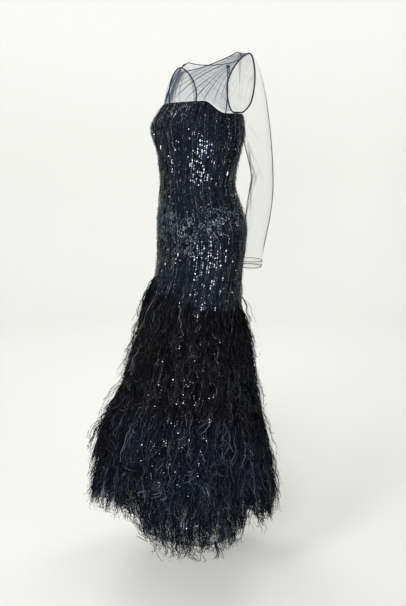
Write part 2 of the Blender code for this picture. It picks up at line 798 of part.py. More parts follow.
def lock_points(root, angle, down, outward, along, tier, draw):
    """Return the middle and the tip of one curled lock, leaning more in the deep fold."""
    in_fold = math.exp(-(angle_between(angle, 0) / FOLD_SPREAD) ** 2)
    lean = math.radians(tier.lean + FOLD_LEAN * in_fold + draw.uniform(-1.5, 1.5))
    length = tier.length * draw.uniform(0.90, 1.06)
    heading = (down * math.cos(lean) + outward * math.sin(lean)).normalized()
    middle = root + heading * LOCK_BEND * length
    curl = (heading + outward * draw.uniform(0.0, 0.18)).normalized()
    swing = along * draw.uniform(-LOCK_TIP_SWING, LOCK_TIP_SWING)
    tip = middle + curl * (1 - LOCK_BEND) * length + swing
    return middle, tip


def tape_rows(tier, angle):
    """Return the grid rows of a tape's top and foot at an angle."""
    top = tier.row - tier.slant * math.cos(math.radians(angle - SLANT_ANGLE))
    low = min(int(top), len(ROW_HEIGHTS) - 2)
    return top, top + TAPE_HEIGHT / (ROW_HEIGHTS[low] - ROW_HEIGHTS[low + 1])


def make_tier(number, tier, material, collection):
    """Make one tape round the skirt with a lock of feather barbs on each cell."""
    draw = random.Random(FRINGE_SEED + number)
    mesh_data = bmesh.new()
    rings = {"top_in": [], "top_out": [], "foot_in": [], "foot_out": []}
    for c in range(COLUMNS):
        angle = COLUMN_STEP * c
        for label, row in zip(("top", "foot"), tape_rows(tier, angle)):
            point = grid_point(row, angle)
            normal = grid_normal(row, angle)
            inner = point + normal * TAPE_GAP
            rings[label + "_in"].append(mesh_data.verts.new(inner))
            rings[label + "_out"].append(mesh_data.verts.new(inner + normal * TAPE_WALL))
    top_in, top_out = rings["top_in"], rings["top_out"]
    foot_in, foot_out = rings["foot_in"], rings["foot_out"]
    feet = []
    for c in range(COLUMNS):
        n = (c + 1) % COLUMNS
        mesh_data.faces.new((top_in[c], top_in[n], top_out[n], top_out[c]))
        mesh_data.faces.new((top_out[c], top_out[n], foot_out[n], foot_out[c]))
        mesh_data.faces.new((top_in[c], foot_in[c], foot_in[n], top_in[n]))
        feet.append(mesh_data.faces.new((foot_in[c], foot_out[c], foot_out[n], foot_in[n])))
    for c, foot in enumerate(feet):
        grow_lock(mesh_data, foot, c, tier, draw)
    return finish_mesh(f"feather_tier_{number}", mesh_data, material, collection)


def grow_lock(mesh_data, foot, column, tier, draw):
    """Grow a tapered, curled lock from the middle of a tape's foot face."""
    angle = COLUMN_STEP * (column + 0.5)
    foot_row = tape_rows(tier, angle)[1]
    root = foot.calc_center_median()
    along = (body_point(angle + 2, root.z) - body_point(angle - 2, root.z)).normalized()
    down = (grid_point(foot_row + 0.3, angle) - grid_point(foot_row, angle)).normalized()
    outward = grid_normal(foot_row, angle)
    bmesh.ops.inset_individual(mesh_data, faces=[foot], thickness=0.0003, depth=0.0,
                               use_even_offset=True)
    for vert in foot.verts:
        away = (vert.co - root).dot(along)
        vert.co += along * (math.copysign(0.5 * LOCK_WIDTH, away) - away)
    middle, tip = lock_points(root, angle, down, outward, along, tier, draw)
    stretched = bmesh.ops.extrude_discrete_faces(mesh_data, faces=[foot])["faces"][0]
    for vert in stretched.verts:
        vert.co = middle + (vert.co - root) * LOCK_WAIST
    poked = bmesh.ops.poke(mesh_data, faces=[stretched])["verts"][0]
    poked.co = tip


def make_zip_chain(material, collection):
    """Make the closed zip from the hip to the neck, between the back panels."""
    middle = []
    neck = neck_back_point(0)
    foot_point = grid_point(0, 180)
    for i in range(7):
        share = i / 6
        bow = Vector((0, ZIP_BOW * math.sin(math.pi * share), 0))
        start = Vector((0, neck.y + SEAM_GAP, ZIP_HEAD_Z))
        middle.append(start.lerp(foot_point, share) + bow)
    for row in range(1, ZIP_FOOT_ROW):
        middle.append(grid_point(row, 180))
    middle.append(grid_point(ZIP_FOOT_ROW - 0.06, 180))
    outer, inner = [], []
    for i, point in enumerate(middle):
        before, after = middle[max(i - 1, 0)], middle[min(i + 1, len(middle) - 1)]
        outward = (after - before).cross(Vector((-1, 0, 0))).normalized()
        half = Vector((0.5 * ZIP_WIDTH, 0, 0))
        outer.append([point - half, point + half])
        inner.append([point - half - outward * ZIP_THICKNESS, point + half - outward * ZIP_THICKNESS])
    return wall_from_grids("zip_chain", outer, inner, False, material, collection)


def boolean(base, other, operation):
    """Join or cut two objects and keep the result as the base's mesh."""
    modifier = base.modifiers.new(operation.lower(), "BOOLEAN")
    modifier.operation = operation
    modifier.object = other
    depsgraph = bpy.context.evaluated_depsgraph_get()
    mesh = bpy.data.meshes.new_from_object(base.evaluated_get(depsgraph))
    base.modifiers.remove(modifier)
    base.data = mesh
    bpy.data.objects.remove(other, do_unlink=True)


def add_box(name, size, centre, collection):
    """Add a box of a size at a place."""
    bpy.ops.mesh.primitive_cube_add(size=1.0, location=(0, 0, 0))
    made = bpy.context.object
    made.name = name
    for vert in made.data.vertices:
        vert.co = Vector([co * span + place for co, span, place in zip(vert.co, size, centre)])
    move_to(made, collection)
    return made


def add_bar(name, radius, length, centre, sides, collection):
    """Add a round bar along X."""
    bpy.ops.mesh.primitive_cylinder_add(vertices=sides, radius=radius, depth=length,
                                        location=(0, 0, 0))
    made = bpy.context.object
    made.name = name
    for vert in made.data.vertices:
        x, y, z = vert.co
        vert.co = Vector((z + centre[0], y + centre[1], -x + centre[2]))
    move_to(made, collection)
    return made


def move_to(made, collection):
    """Keep an object in one collection only."""
    for holder in list(made.users_collection):
        holder.objects.unlink(made)
    collection.objects.link(made)


def pull_pivot():
    """Return the point that the pull tab turns about."""
    neck = neck_back_point(0)
    return Vector((0, neck.y + PIN_REACH, ZIP_HEAD_Z - 0.5 * SLIDER_HEIGHT))


def make_slider(material, collection):
    """Make the zip's slider with two lugs and the pin that carries the pull."""
    pivot = pull_pivot()
    back = neck_back_point(0).y + SEAM_GAP + SLIDER_SEAT
    body = add_box("zip_slider", (SLIDER_WIDTH, SLIDER_DEPTH, SLIDER_HEIGHT),
                   (0, back + 0.5 * SLIDER_DEPTH, pivot.z), collection)
    lug_x = 0.5 * (SLIDER_WIDTH - SLIDER_LUG)
    reach = pivot.y + 2 * PIN_RADIUS - back
    for x in (-lug_x, lug_x):
        lug = add_box("lug", (SLIDER_LUG, reach, LUG_HEIGHT), (x, back + 0.5 * reach, pivot.z),
                      collection)
        boolean(body, lug, "UNION")
    pin = add_bar("pin", PIN_RADIUS, SLIDER_WIDTH - SLIDER_LUG, pivot, PIN_SIDES, collection)
    boolean(body, pin, "UNION")
    body.data.materials.clear()
    body.data.materials.append(material)
    return body


def make_pull(material, collection):
    """Make the pull tab, hanging from the slider's pin by its eye."""
    pivot = pull_pivot()
    width = SLIDER_WIDTH - 2 * SLIDER_LUG - 2 * SEAM_GAP
    tab = add_box("zip_pull", (PULL_WIDTH, PULL_THICKNESS, PULL_LENGTH),
                  (0, pivot.y, pivot.z - PULL_DROP - 0.5 * PULL_LENGTH), collection)
    neck = add_box("neck", (width, PULL_THICKNESS, EYE_OUTER), (0, pivot.y, pivot.z - EYE_OUTER),
                   collection)
    boolean(tab, neck, "UNION")
    eye = add_bar("eye", EYE_OUTER, width, pivot, EYE_SIDES, collection)
    boolean(tab, eye, "UNION")
    bore = add_bar("bore", EYE_INNER, width + SLIDER_LUG, pivot, EYE_SIDES, collection)
    boolean(tab, bore, "DIFFERENCE")
    tab.data.materials.clear()
    tab.data.materials.append(material)
    return tab


def main():
    """Build the whole gown."""
    clear_scene()
    finishes = make_materials()
    gown = bpy.data.collections.new("mermaid_evening_gown")
    bpy.context.scene.collection.children.link(gown)
    for name, (first, last) in PANELS.items():
        make_panel(name, first, last, finishes["sequinned_tulle"], gown)
    make_front_yoke(finishes["yoke_tulle"], gown)
    make_neck_binding(finishes["binding"], gown)
    for side, rings in ((1, LEFT_RINGS), (-1, RIGHT_RINGS)):
        make_back_yoke(side, finishes["yoke_tulle"], gown)
        make_armhole_binding(side, finishes["binding"], gown)
        make_sleeve(side, rings, finishes["sleeve_net"], gown)
        make_cuff(side, rings, finishes["sleeve_net"], gown)
        make_studs(side, rings, finishes["zip_metal"], gown)
    make_rosettes(finishes["beads"], gown)
    for number, tier in enumerate(TIERS, start=1):
        make_tier(number, tier, finishes["ostrich"], gown)
    make_zip_chain(finishes["zip_metal"], gown)
    make_slider(finishes["zip_metal"], gown)
    make_pull(finishes["zip_metal"], gown)


main()
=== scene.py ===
"""Mermaid evening gown: the cloth, sequins, beads and ostrich fringe over its solids.

All sizes are in metres in the frame of the solids: the origin lies midway between the
shoulder tops, +Z is up, the front faces -Y and the wearer's left is +X. Angles run round
the body in degrees, from the centre front (0) through the wearer's left side (90).
"""
import math

import bpy
import numpy as np
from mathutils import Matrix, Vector


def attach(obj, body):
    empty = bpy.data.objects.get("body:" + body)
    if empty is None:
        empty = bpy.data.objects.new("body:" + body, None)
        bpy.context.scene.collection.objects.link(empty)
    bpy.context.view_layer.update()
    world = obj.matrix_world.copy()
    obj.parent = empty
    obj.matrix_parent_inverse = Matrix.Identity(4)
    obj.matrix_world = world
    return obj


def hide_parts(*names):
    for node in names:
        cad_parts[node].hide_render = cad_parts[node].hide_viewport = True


bl_info = {
    "name": "Mermaid Evening Gown",
    "version": (1, 0, 0),
    "blender": (4, 5, 0),
    "location": "View3D > Sidebar > Gown",
    "description": "Dresses a hollow evening gown with sequins, beading, sheer tulle and feathers",
    "category": "Object",
}

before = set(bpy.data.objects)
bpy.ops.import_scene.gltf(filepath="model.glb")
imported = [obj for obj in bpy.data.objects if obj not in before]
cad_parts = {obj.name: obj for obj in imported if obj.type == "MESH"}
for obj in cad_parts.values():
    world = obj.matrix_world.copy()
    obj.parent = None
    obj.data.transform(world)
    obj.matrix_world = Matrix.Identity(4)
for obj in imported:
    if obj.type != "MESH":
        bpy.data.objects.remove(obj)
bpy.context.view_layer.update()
BODY = "gown"

# Body sections: height, half width, front depth, back depth, centre
SECTIONS = np.array([
    (-0.120, 0.1370, 0.104, 0.0650, -0.0200),
    (-0.150, 0.1455, 0.122, 0.0645, -0.0200),
    (-0.175, 0.1490, 0.134, 0.0710, -0.0200),
    (-0.205, 0.1500, 0.133, 0.0755, -0.0205),
    (-0.250, 0.1405, 0.124, 0.0680, -0.0235),
    (-0.300, 0.1255, 0.118, 0.0650, -0.0275),
    (-0.340, 0.1185, 0.115, 0.0730, -0.0300),
    (-0.390, 0.1350, 0.119, 0.0845, -0.0270),
    (-0.440, 0.1560, 0.122, 0.0885, -0.0235),
    (-0.500, 0.1650, 0.118, 0.0805, -0.0265),
    (-0.560, 0.1615, 0.116, 0.0780, -0.0330),
    (-0.620, 0.1575, 0.123, 0.0950, -0.0420),
    (-0.680, 0.1640, 0.129, 0.1110, -0.0560),
    (-0.760, 0.1820, 0.137, 0.1330, -0.0640),
    (-0.840, 0.2030, 0.153, 0.1500, -0.0720),
    (-0.940, 0.2260, 0.183, 0.1790, -0.0840),
    (-1.040, 0.2470, 0.219, 0.2080, -0.0910),
    (-1.140, 0.2610, 0.241, 0.2300, -0.0920),
    (-1.220, 0.2670, 0.254, 0.2360, -0.0900),
    (-1.330, 0.2690, 0.254, 0.2360, -0.0880),
])
ROW_LEVELS = np.array([
    -0.122, -0.148, -0.176, -0.207, -0.250, -0.298, -0.340, -0.388, -0.438, -0.498,
    -0.560, -0.620, -0.680, -0.755, -0.840, -0.930, -1.020, -1.105, -1.185, -1.255,
])
TOP_LEVEL = ROW_LEVELS[0]
HEM_LEVEL = ROW_LEVELS[-1]
TOP_FADE_Z = -0.250
HEM_FADE_Z = -0.930
CUP_ANGLE, CUP_SPREAD, CUP_Z, CUP_HEIGHT, CUP_RISE = 31, 17, -0.188, 0.042, 0.010
FLUTE_COUNT, FLUTE_RISE, FLUTE_TURN, FLUTE_TOP_Z, FLUTE_FULL_Z = 8, 0.011, 23, -0.700, -1.150
TOP_DIP, TOP_DIP_START, TOP_DIP_END = 0.031, 48, 76
FOLD_DEPTH, FOLD_SPREAD = 0.030, 15
HEM_RISES = np.array([
    (-180, -0.015), (-126, -0.008), (-63, 0.000), (-36, 0.008), (-18, 0.034), (0, 0.054),
    (18, 0.070), (27, 0.066), (36, 0.016), (45, 0.000), (90, 0.000),
    (99, 0.066), (108, 0.046), (117, 0.030), (135, 0.022), (162, -0.006), (180, -0.015),
])

PANELS = {
    "front_centre": (-27, 27),
    "side_front_left": (27, 90),
    "side_back_left": (90, 153),
    "back_left": (153, 180),
    "back_right": (180, 207),
    "side_back_right": (207, 270),
    "side_front_right": (270, 333),
}
PANEL_COLUMN, PANEL_ROW = 3.0, 0.013
CLOTH_WALL, HALF_SEAM, EDGE_ROLL = 0.0010, 0.0002, 0.0006
# The hem turns sheer from this level down to its rolled edge
HEM_SHEER_TOP, HEM_EDGE, HEM_EDGE_COVER = -1.08, 0.004, 0.45

# Yoke, neck and armholes, wearer's left
NECK_HALF_WIDTH, NECK_FRONT_DEPTH, NECK_FRONT_DROP = 0.120, 0.066, 0.037
NECK_BACK_DEPTH, NECK_BACK_DROP = 0.050, 0.012
SHOULDER_TIP = np.array((0.1670, 0.0020, -0.0105))
YOKE_FRONT_END = 81
YOKE_BACK_START = 108
SIDE_FADE = 5
YOKE_BOW = 0.005
NECK_SHARE = 18 / 44
BACK_NECK_SHARE = 0.5
BACK_GATHER = 0.25
FRONT_ARMHOLE, BACK_ARMHOLE = (147, 3), (215, 357)
SEAM_INSET, NECK_CLEAR, TOP_GAP, LAYER_GAP = 0.0018, 0.0009, 0.0004, 0.0003
# Zip: half of the gap for it, its two ends, the foot of the gap and its bow over the yoke
ZIP_HALF, ZIP_HEAD_Z, ZIP_FOOT = 0.0023, -0.0150, -0.494
ZIP_GAP_FOOT, ZIP_GAP_FADE, ZIP_BOW = -0.505, 0.01, 0.006
ARMHOLE = np.array([
    (0, 0.1685, 0.0020, -0.0090),
    (34, 0.1590, -0.0290, -0.0330),
    (75, 0.1480, -0.0485, -0.0770),
    (112, 0.1460, -0.0465, -0.1200),
    (145, 0.1465, -0.0345, -0.1475),
    (180, 0.1480, -0.0160, -0.1505),
    (212, 0.1430, 0.0060, -0.1465),
    (250, 0.1400, 0.0300, -0.1220),
    (288, 0.1420, 0.0390, -0.0770),
    (326, 0.1540, 0.0280, -0.0330),
])

# Sleeve rings: x, y, z, radius and lean in degrees
LEFT_RINGS = np.array([
    (0.1925, 0.0010, -0.160, 0.0370, 20),
    (0.1990, 0.0035, -0.195, 0.0362, 12),
    (0.2060, 0.0060, -0.235, 0.0340, 8),
    (0.2135, 0.0090, -0.275, 0.0305, 6),
    (0.2190, 0.0095, -0.308, 0.0285, 4),
    (0.2210, 0.0060, -0.340, 0.0305, 0),
    (0.2220, -0.0005, -0.380, 0.0325, 0),
    (0.2205, -0.0065, -0.425, 0.0315, -2),
    (0.2175, -0.0130, -0.475, 0.0290, -3),
    (0.2145, -0.0185, -0.518, 0.0278, -3),
])
RIGHT_RINGS = np.array([
    (0.1925, -0.0010, -0.160, 0.0370, 20),
    (0.1990, -0.0010, -0.195, 0.0362, 12),
    (0.2060, -0.0005, -0.235, 0.0340, 8),
    (0.2140, 0.0000, -0.275, 0.0305, 6),
    (0.2200, -0.0020, -0.308, 0.0285, 4),
    (0.2215, -0.0070, -0.340, 0.0305, 0),
    (0.2210, -0.0120, -0.380, 0.0325, -2),
    (0.2170, -0.0170, -0.425, 0.0315, -5),
    (0.2110, -0.0220, -0.475, 0.0290, -5),
    (0.2060, -0.0250, -0.518, 0.0278, -3),
])
SLEEVES = {"left": (1, LEFT_RINGS), "right": (-1, RIGHT_RINGS)}
CAP_ROWS, CAP_PULL_OUT, CAP_PULL_DOWN = 14, 0.105, 0.090
SLEEVE_ROWS, SLEEVE_INSET = 38, 0.0006
CUFF_HEIGHT, CUFF_FLARE, CUFF_GAP, CUFF_WALL = 0.018, 0.03, 0.00045, 0.0007
STITCH_ROWS, STITCH_SIZE = (0.05, 0.94), (0.0011, 0.0013, 0.0006)

# Bead rosettes of the hip band: angle, height, radius
ROSETTES = [
    (64, -0.412, 0.0095), (62, -0.444, 0.0080), (34, -0.452, 0.0105), (26, -0.492, 0.0090),
    (-2, -0.404, 0.0095), (14, -0.428, 0.0080), (-2, -0.464, 0.0085), (87, -0.420, 0.0080),
    (-40, -0.430, 0.0095), (-70, -0.450, 0.0085), (145, -0.440, 0.0095), (215, -0.455, 0.0095),
]

# Sequin strings: foot and its wave, gap under the bodice's top edge, share of gaps
STRING_FOOT, STRING_FOOT_WAVE, STRING_TOP_GAP, MISSED_SEQUINS = -0.735, 0.03, 0.003, 0.05
# Sides where the sequins are painted lighter, a painted reflection of the light: strength, angle
# and spread
PAINTED_SHEEN_SIDES = ((1.15, -14, 28.0), (1.5, 126, 24.0))
# Loose threads and beads, and metres for each degree round the hips
LOOSE_THREADS, LOOSE_BEADS, HIP_DEGREE = 2600, 1000, 0.0025
# Short strings among the feathers: how many, levels, offs, pitch and radius
SKIRT_STRINGS, SKIRT_LEVELS, SKIRT_OFFS = 2300, (-1.25, -0.72), (0.018, 0.038)
SKIRT_PITCH, SKIRT_RADIUS = 0.0065, 0.0013

# Feather tiers: grid row of the tape, slant, barb length
TIERS = [
    (11.75, 0.50, 0.145), (13.30, 0.35, 0.160), (15.02, 0.20, 0.165), (16.10, 0.10, 0.165),
    (17.50, 0.00, 0.160),
]
SLANT_ANGLE = -33
# The lowest tier hangs this much lower and has this many times the wisps
LOWEST_DROP, LOWEST_WISPS = 0.016, 1.8
# Share of pale barbs among the long ones, the curls and the wisps
PALE_SHARES = (0.26, 0.26, 0.10)
# Barbs and threads start this far off the cloth, barbs stay farther than the next, and the
# third is the share of their length that they fall
STRAND_OFF, BARB_NEAREST, BARB_FALL = 0.0022, 0.0015, 0.985
# The fringe is short in the front fold, and tufts stand out at the right front
FRINGE_GAP, FRINGE_GAP_ANGLE = 0.026, 12
TUFT_ANGLE, TUFT_LEVEL = -34, -0.985

# Camera and floor
CAMERA_DISTANCE, CAMERA_AZIMUTH, CAMERA_HEIGHT, CAMERA_PITCH = 1.93, 57, -0.261, 12.07
CAMERA_LENS, CAMERA_SHIFT, FLOOR_Z = 40.57, -0.0144, -1.49
SWEEP_SIDES, SWEEP_REACH, SWEEP_TURN = 72, 3.4, 1.2


def smooth_step(value):
    """Ease from 0 to 1 with level ends, for numbers and arrays."""
    value = np.clip(value, 0.0, 1.0)
    return value * value * (3.0 - 2.0 * value)


def unit(vectors):
    """Scale vectors to length 1."""
    return vectors / np.maximum(np.linalg.norm(vectors, axis=-1, keepdims=True), 1e-12)


class Profile:
    """A table whose first column is a place and whose others are read smoothly between rows."""

    def __init__(self, table):
        table = table[np.argsort(table[:, 0])]
        self.places, self.values = table[:, 0], table[:, 1:]
        slopes = np.zeros_like(self.values)
        gaps = self.places[2:] - self.places[:-2]
        slopes[1:-1] = (self.values[2:] - self.values[:-2]) / gaps[:, None]
        slopes[0] = (self.values[1] - self.values[0]) / (self.places[1] - self.places[0])
        slopes[-1] = (self.values[-1] - self.values[-2]) / (self.places[-1] - self.places[-2])
        self.slopes = slopes

    def read(self, place):
        """Return the columns at one or many places."""
        place = np.clip(np.asarray(place, float), self.places[0], self.places[-1])
        low = np.clip(np.searchsorted(self.places, place, side="right") - 1, 0,
                      len(self.places) - 2)
        step = (self.places[low + 1] - self.places[low])[..., None]
        s = (place - self.places[low])[..., None] / step
        square, cube = s * s, s * s * s
        return (self.values[low] * (2 * cube - 3 * square + 1)
                + self.slopes[low] * step * (cube - 2 * square + s)
                + self.values[low + 1] * (3 * square - 2 * cube)
                + self.slopes[low + 1] * step * (cube - square))


SECTION_PROFILE = Profile(SECTIONS)


def angle_between(angle, other):
    """Return the smallest turn between angles in degrees."""
    return np.abs((angle - other + 180) % 360 - 180)


def body_points(angle, z):
    """Return the gown's outer surface at angles and heights."""
    section = SECTION_PROFILE.read(z)
    half_width, front, back, centre = (section[..., k] for k in range(4))
    turn = np.radians(angle)
    depth = np.where(np.cos(turn) > 0, front, back)
    x = half_width * np.sin(turn)
    y = centre - depth * np.cos(turn)
    outward = unit(np.stack([np.sin(turn) / half_width, -np.cos(turn) / depth,
                             np.zeros_like(x)], axis=-1))
    rise = np.zeros_like(x)
    for cup in (CUP_ANGLE, -CUP_ANGLE):
        across = angle_between(angle, cup) / CUP_SPREAD
        along = (z - CUP_Z) / CUP_HEIGHT
        rise += CUP_RISE * np.exp(-across * across - along * along)
    flare = smooth_step((z - FLUTE_TOP_Z) / (FLUTE_FULL_Z - FLUTE_TOP_Z))
    rise += FLUTE_RISE * flare * np.cos(np.radians(FLUTE_COUNT * (angle - FLUTE_TURN)))
    across = angle_between(angle, 0) / FOLD_SPREAD
    rise -= FOLD_DEPTH * flare * np.exp(-across * across)
    return np.stack([x, y, np.broadcast_to(z, x.shape)], axis=-1) + outward * rise[..., None]


def hem_rise(angle):
    """Return how far the hem lies above its level height."""
    turn = (np.asarray(angle, float) + 180) % 360 - 180
    starts, rises = HEM_RISES[:, 0], HEM_RISES[:, 1]
    low = np.clip(np.searchsorted(starts, turn, side="left") - 1, 0, len(starts) - 2)
    share = smooth_step((turn - starts[low]) / (starts[low + 1] - starts[low]))
    return rises[low] + (rises[low + 1] - rises[low]) * share


def cloth_height(angle, level):
    """Return the height of a level line, which dips at the top and steps at the hem."""
    near_top = np.maximum(0.0, (level - TOP_FADE_Z) / (TOP_LEVEL - TOP_FADE_Z))
    near_hem = np.clip((HEM_FADE_Z - level) / (HEM_FADE_Z - HEM_LEVEL), 0.0, 1.0)
    turn = angle_between(angle, 0)
    drop = TOP_DIP * smooth_step((turn - TOP_DIP_START) / (TOP_DIP_END - TOP_DIP_START))
    return level - drop * near_top + hem_rise(angle) * near_hem


def cloth_points(angle, level):
    """Return the gown's surface at angles and level lines."""
    return body_points(angle, cloth_height(angle, level))


class ClothSurface:
    """The gown's surface with its directions, sampled once and read by angle and level."""

    def __init__(self):
        self.angle_step, self.level_step = 2.0, -0.006
        self.first_angle, self.first_level = -4.0, -0.090
        angles = np.arange(self.first_angle, 365.0, self.angle_step)
        levels = np.arange(self.first_level, -1.500, self.level_step)
        angle, level = np.meshgrid(angles, levels)
        self.points = cloth_points(angle, level)
        self.across = np.gradient(self.points, self.angle_step, axis=1)
        self.down = unit(np.gradient(self.points, axis=0))
        self.normals = unit(np.cross(self.down, self.across))

    def read(self, angle, level):
        """Return points, outward normals, directions across and down, and metres per degree."""
        column = ((angle % 360.0) - self.first_angle) / self.angle_step
        row = (level - self.first_level) / self.level_step
        row = np.clip(row, 0, self.points.shape[0] - 1.001)
        c, r = column.astype(int), row.astype(int)
        s, t = (column - c)[..., None], (row - r)[..., None]

        def mix(grid):
            upper = grid[r, c] * (1 - s) + grid[r, c + 1] * s
            lower = grid[r + 1, c] * (1 - s) + grid[r + 1, c + 1] * s
            return upper * (1 - t) + lower * t

        across = mix(self.across)
        reach = np.linalg.norm(across, axis=-1)
        return mix(self.points), unit(mix(self.normals)), unit(across), unit(mix(self.down)), reach


SURFACE = ClothSurface()


def cloth_spot(angle, level):
    """Return what the surface says of one place."""
    return [value[0] for value in SURFACE.read(np.array([float(angle)]),
                                               np.array([float(level)]))]


def make_mesh(name, points, faces, tone=None):
    """Make a smooth mesh from arrays of points and of equal-sided faces."""
    mesh = bpy.data.meshes.new(name)
    mesh.vertices.add(len(points))
    mesh.vertices.foreach_set("co", np.ascontiguousarray(points, np.float32).ravel())
    corners = np.concatenate([block.ravel() for block in faces]).astype(np.int32)
    sizes = np.concatenate([np.full(len(block), block.shape[1]) for block in faces])
    starts = np.concatenate([[0], np.cumsum(sizes)[:-1]]).astype(np.int32)
    mesh.loops.add(len(corners))
    mesh.loops.foreach_set("vertex_index", corners)
    mesh.polygons.add(len(sizes))
    mesh.polygons.foreach_set("loop_start", starts)
    mesh.update(calc_edges=True)
    mesh.polygons.foreach_set("use_smooth", np.ones(len(sizes), bool))
    if tone is not None:
        values = mesh.attributes.new("tone", "FLOAT", "POINT")
        values.data.foreach_set("value", np.ascontiguousarray(tone, np.float32))
    mesh.validate()
    return mesh


def add_piece(name, mesh, material, nodes=()):
    """Link a piece, give it its finish, hang it on what carries it and hide the solids it stands
    for.
    """
    piece = bpy.data.objects.new(name, mesh)
    bpy.context.scene.collection.objects.link(piece)
    piece.data.materials.append(material)
    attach(piece, BODY)
    if nodes:
        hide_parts(*nodes)
    return piece


def grid_faces(rows, columns, closed, first=0, flip=False):
    """Return the quads of a grid of points, open or closed round."""
    spans = columns if closed else columns - 1
    r, c = np.meshgrid(np.arange(rows - 1), np.arange(spans), indexing="ij")
    n = (c + 1) % columns
    quads = np.stack([r * columns + c, r * columns + n, (r + 1) * columns + n,
                      (r + 1) * columns + c], axis=-1).reshape(-1, 4) + first
    return quads[:, ::-1] if flip else quads


def shell(outer, inner, closed):
    """Return the points and quads of a thin wall between two grids."""
    rows, columns = outer.shape[:2]
    second = rows * columns
    points = np.concatenate([outer.reshape(-1, 3), inner.reshape(-1, 3)])
    blocks = [grid_faces(rows, columns, closed),
              grid_faces(rows, columns, closed, second, flip=True)]
    spans = columns if closed else columns - 1
    for r, flip in ((0, True), (rows - 1, False)):
        c = np.arange(spans)
        n = (c + 1) % columns
        edge = np.stack([r * columns + c, r * columns + n, r * columns + n + second,
                         r * columns + c + second], axis=-1)
        blocks.append(edge[:, ::-1] if flip else edge)
    if not closed:
        for c, flip in ((0, False), (columns - 1, True)):
            r = np.arange(rows - 1)
            edge = np.stack([r * columns + c, (r + 1) * columns + c,
                             (r + 1) * columns + c + second, r * columns + c + second], axis=-1)
            blocks.append(edge[:, ::-1] if flip else edge)
    return points, [np.concatenate(blocks)]


def cut_size(grid, closed=False):
    """Measure the flat cut of a grid of cloth: width, length and area."""
    wide = grid if not closed else np.concatenate([grid, grid[:, :1]], axis=1)
    steps_across = np.linalg.norm(np.diff(wide, axis=1), axis=-1)
    steps_down = np.linalg.norm(np.diff(wide, axis=0), axis=-1)
    width = float(steps_across.sum(axis=1).max())
    length = float(steps_down.sum(axis=0).max())
    one = np.linalg.norm(np.cross(wide[1:, :-1] - wide[:-1, :-1], wide[:-1, 1:] - wide[:-1, :-1]),
                         axis=-1)
    two = np.linalg.norm(np.cross(wide[1:, :-1] - wide[1:, 1:], wide[:-1, 1:] - wide[1:, 1:]),
                         axis=-1)
    area = float(0.5 * (one.sum() + two.sum()))
    return (width, length), min(max(area, 0.31 * width * length), width * length)


def lay_solids(centres, axes, sizes, template, faces):
    """Copy a small template to many places, each with its own axes and sizes."""
    local = template[None, :, :] * sizes[:, None, :]
    points = centres[:, None, :] + np.einsum("npk,nkd->npd", local, axes)
    offsets = (np.arange(len(centres)) * len(template))[:, None, None]
    laid = [(block[None, :, :] + offsets).reshape(-1, block.shape[1]) for block in faces]
    return points.reshape(-1, 3), laid


HEXAGON = np.array([(math.cos(math.radians(60 * k)), math.sin(math.radians(60 * k)), 0.0)
                    for k in range(6)])
HEXAGON_FACES = [np.arange(6)[None, :]]
SEED = np.array([(1, 0, 0), (0, 1, 0), (-1, 0, 0), (0, -1, 0), (0, 0, 1), (0, 0, -1)], float)
SEED_FACES = [np.array([(0, 1, 4), (1, 2, 4), (2, 3, 4), (3, 0, 4),
                        (1, 0, 5), (2, 1, 5), (3, 2, 5), (0, 3, 5)])]
GOLDEN = (1 + math.sqrt(5)) / 2
BALL = unit(np.array([(-1, GOLDEN, 0), (1, GOLDEN, 0), (-1, -GOLDEN, 0), (1, -GOLDEN, 0),
                      (0, -1, GOLDEN), (0, 1, GOLDEN), (0, -1, -GOLDEN), (0, 1, -GOLDEN),
                      (GOLDEN, 0, -1), (GOLDEN, 0, 1), (-GOLDEN, 0, -1), (-GOLDEN, 0, 1)], float))
BALL_FACES = [np.array([(0, 11, 5), (0, 5, 1), (0, 1, 7), (0, 7, 10), (0, 10, 11), (1, 5, 9),
                        (5, 11, 4), (11, 10, 2), (10, 7, 6), (7, 1, 8), (3, 9, 4), (3, 4, 2),
                        (3, 2, 6), (3, 6, 8), (3, 8, 9), (4, 9, 5), (2, 4, 11), (6, 2, 10),
                        (8, 6, 7), (9, 8, 1)])]
BLOCK = np.array([(x, y, z) for x in (-1, 1) for y in (-1, 1) for z in (-1, 1)], float)
BLOCK_FACES = [np.array([(0, 1, 3, 2), (4, 6, 7, 5), (0, 4, 5, 1), (2, 3, 7, 6), (0, 2, 6, 4),
                         (1, 5, 7, 3)])]


class Value:
    """A socket that carries a number, with arithmetic that adds Math nodes."""

    def __init__(self, shader, socket):
        self.shader, self.socket = shader, socket

    def math(self, operation, first, second):
        """Add a Math node and return its result."""
        node = self.shader.node("ShaderNodeMath", {"operation": operation}, {0: first, 1: second})
        return Value(self.shader, node.outputs[0])

    def __add__(self, other):
        return self.math("ADD", self, other)

    def __radd__(self, other):
        return self.math("ADD", other, self)

    def __sub__(self, other):
        return self.math("SUBTRACT", self, other)

    def __rsub__(self, other):
        return self.math("SUBTRACT", other, self)

    def __mul__(self, other):
        return self.math("MULTIPLY", self, other)

    def __rmul__(self, other):
        return self.math("MULTIPLY", other, self)


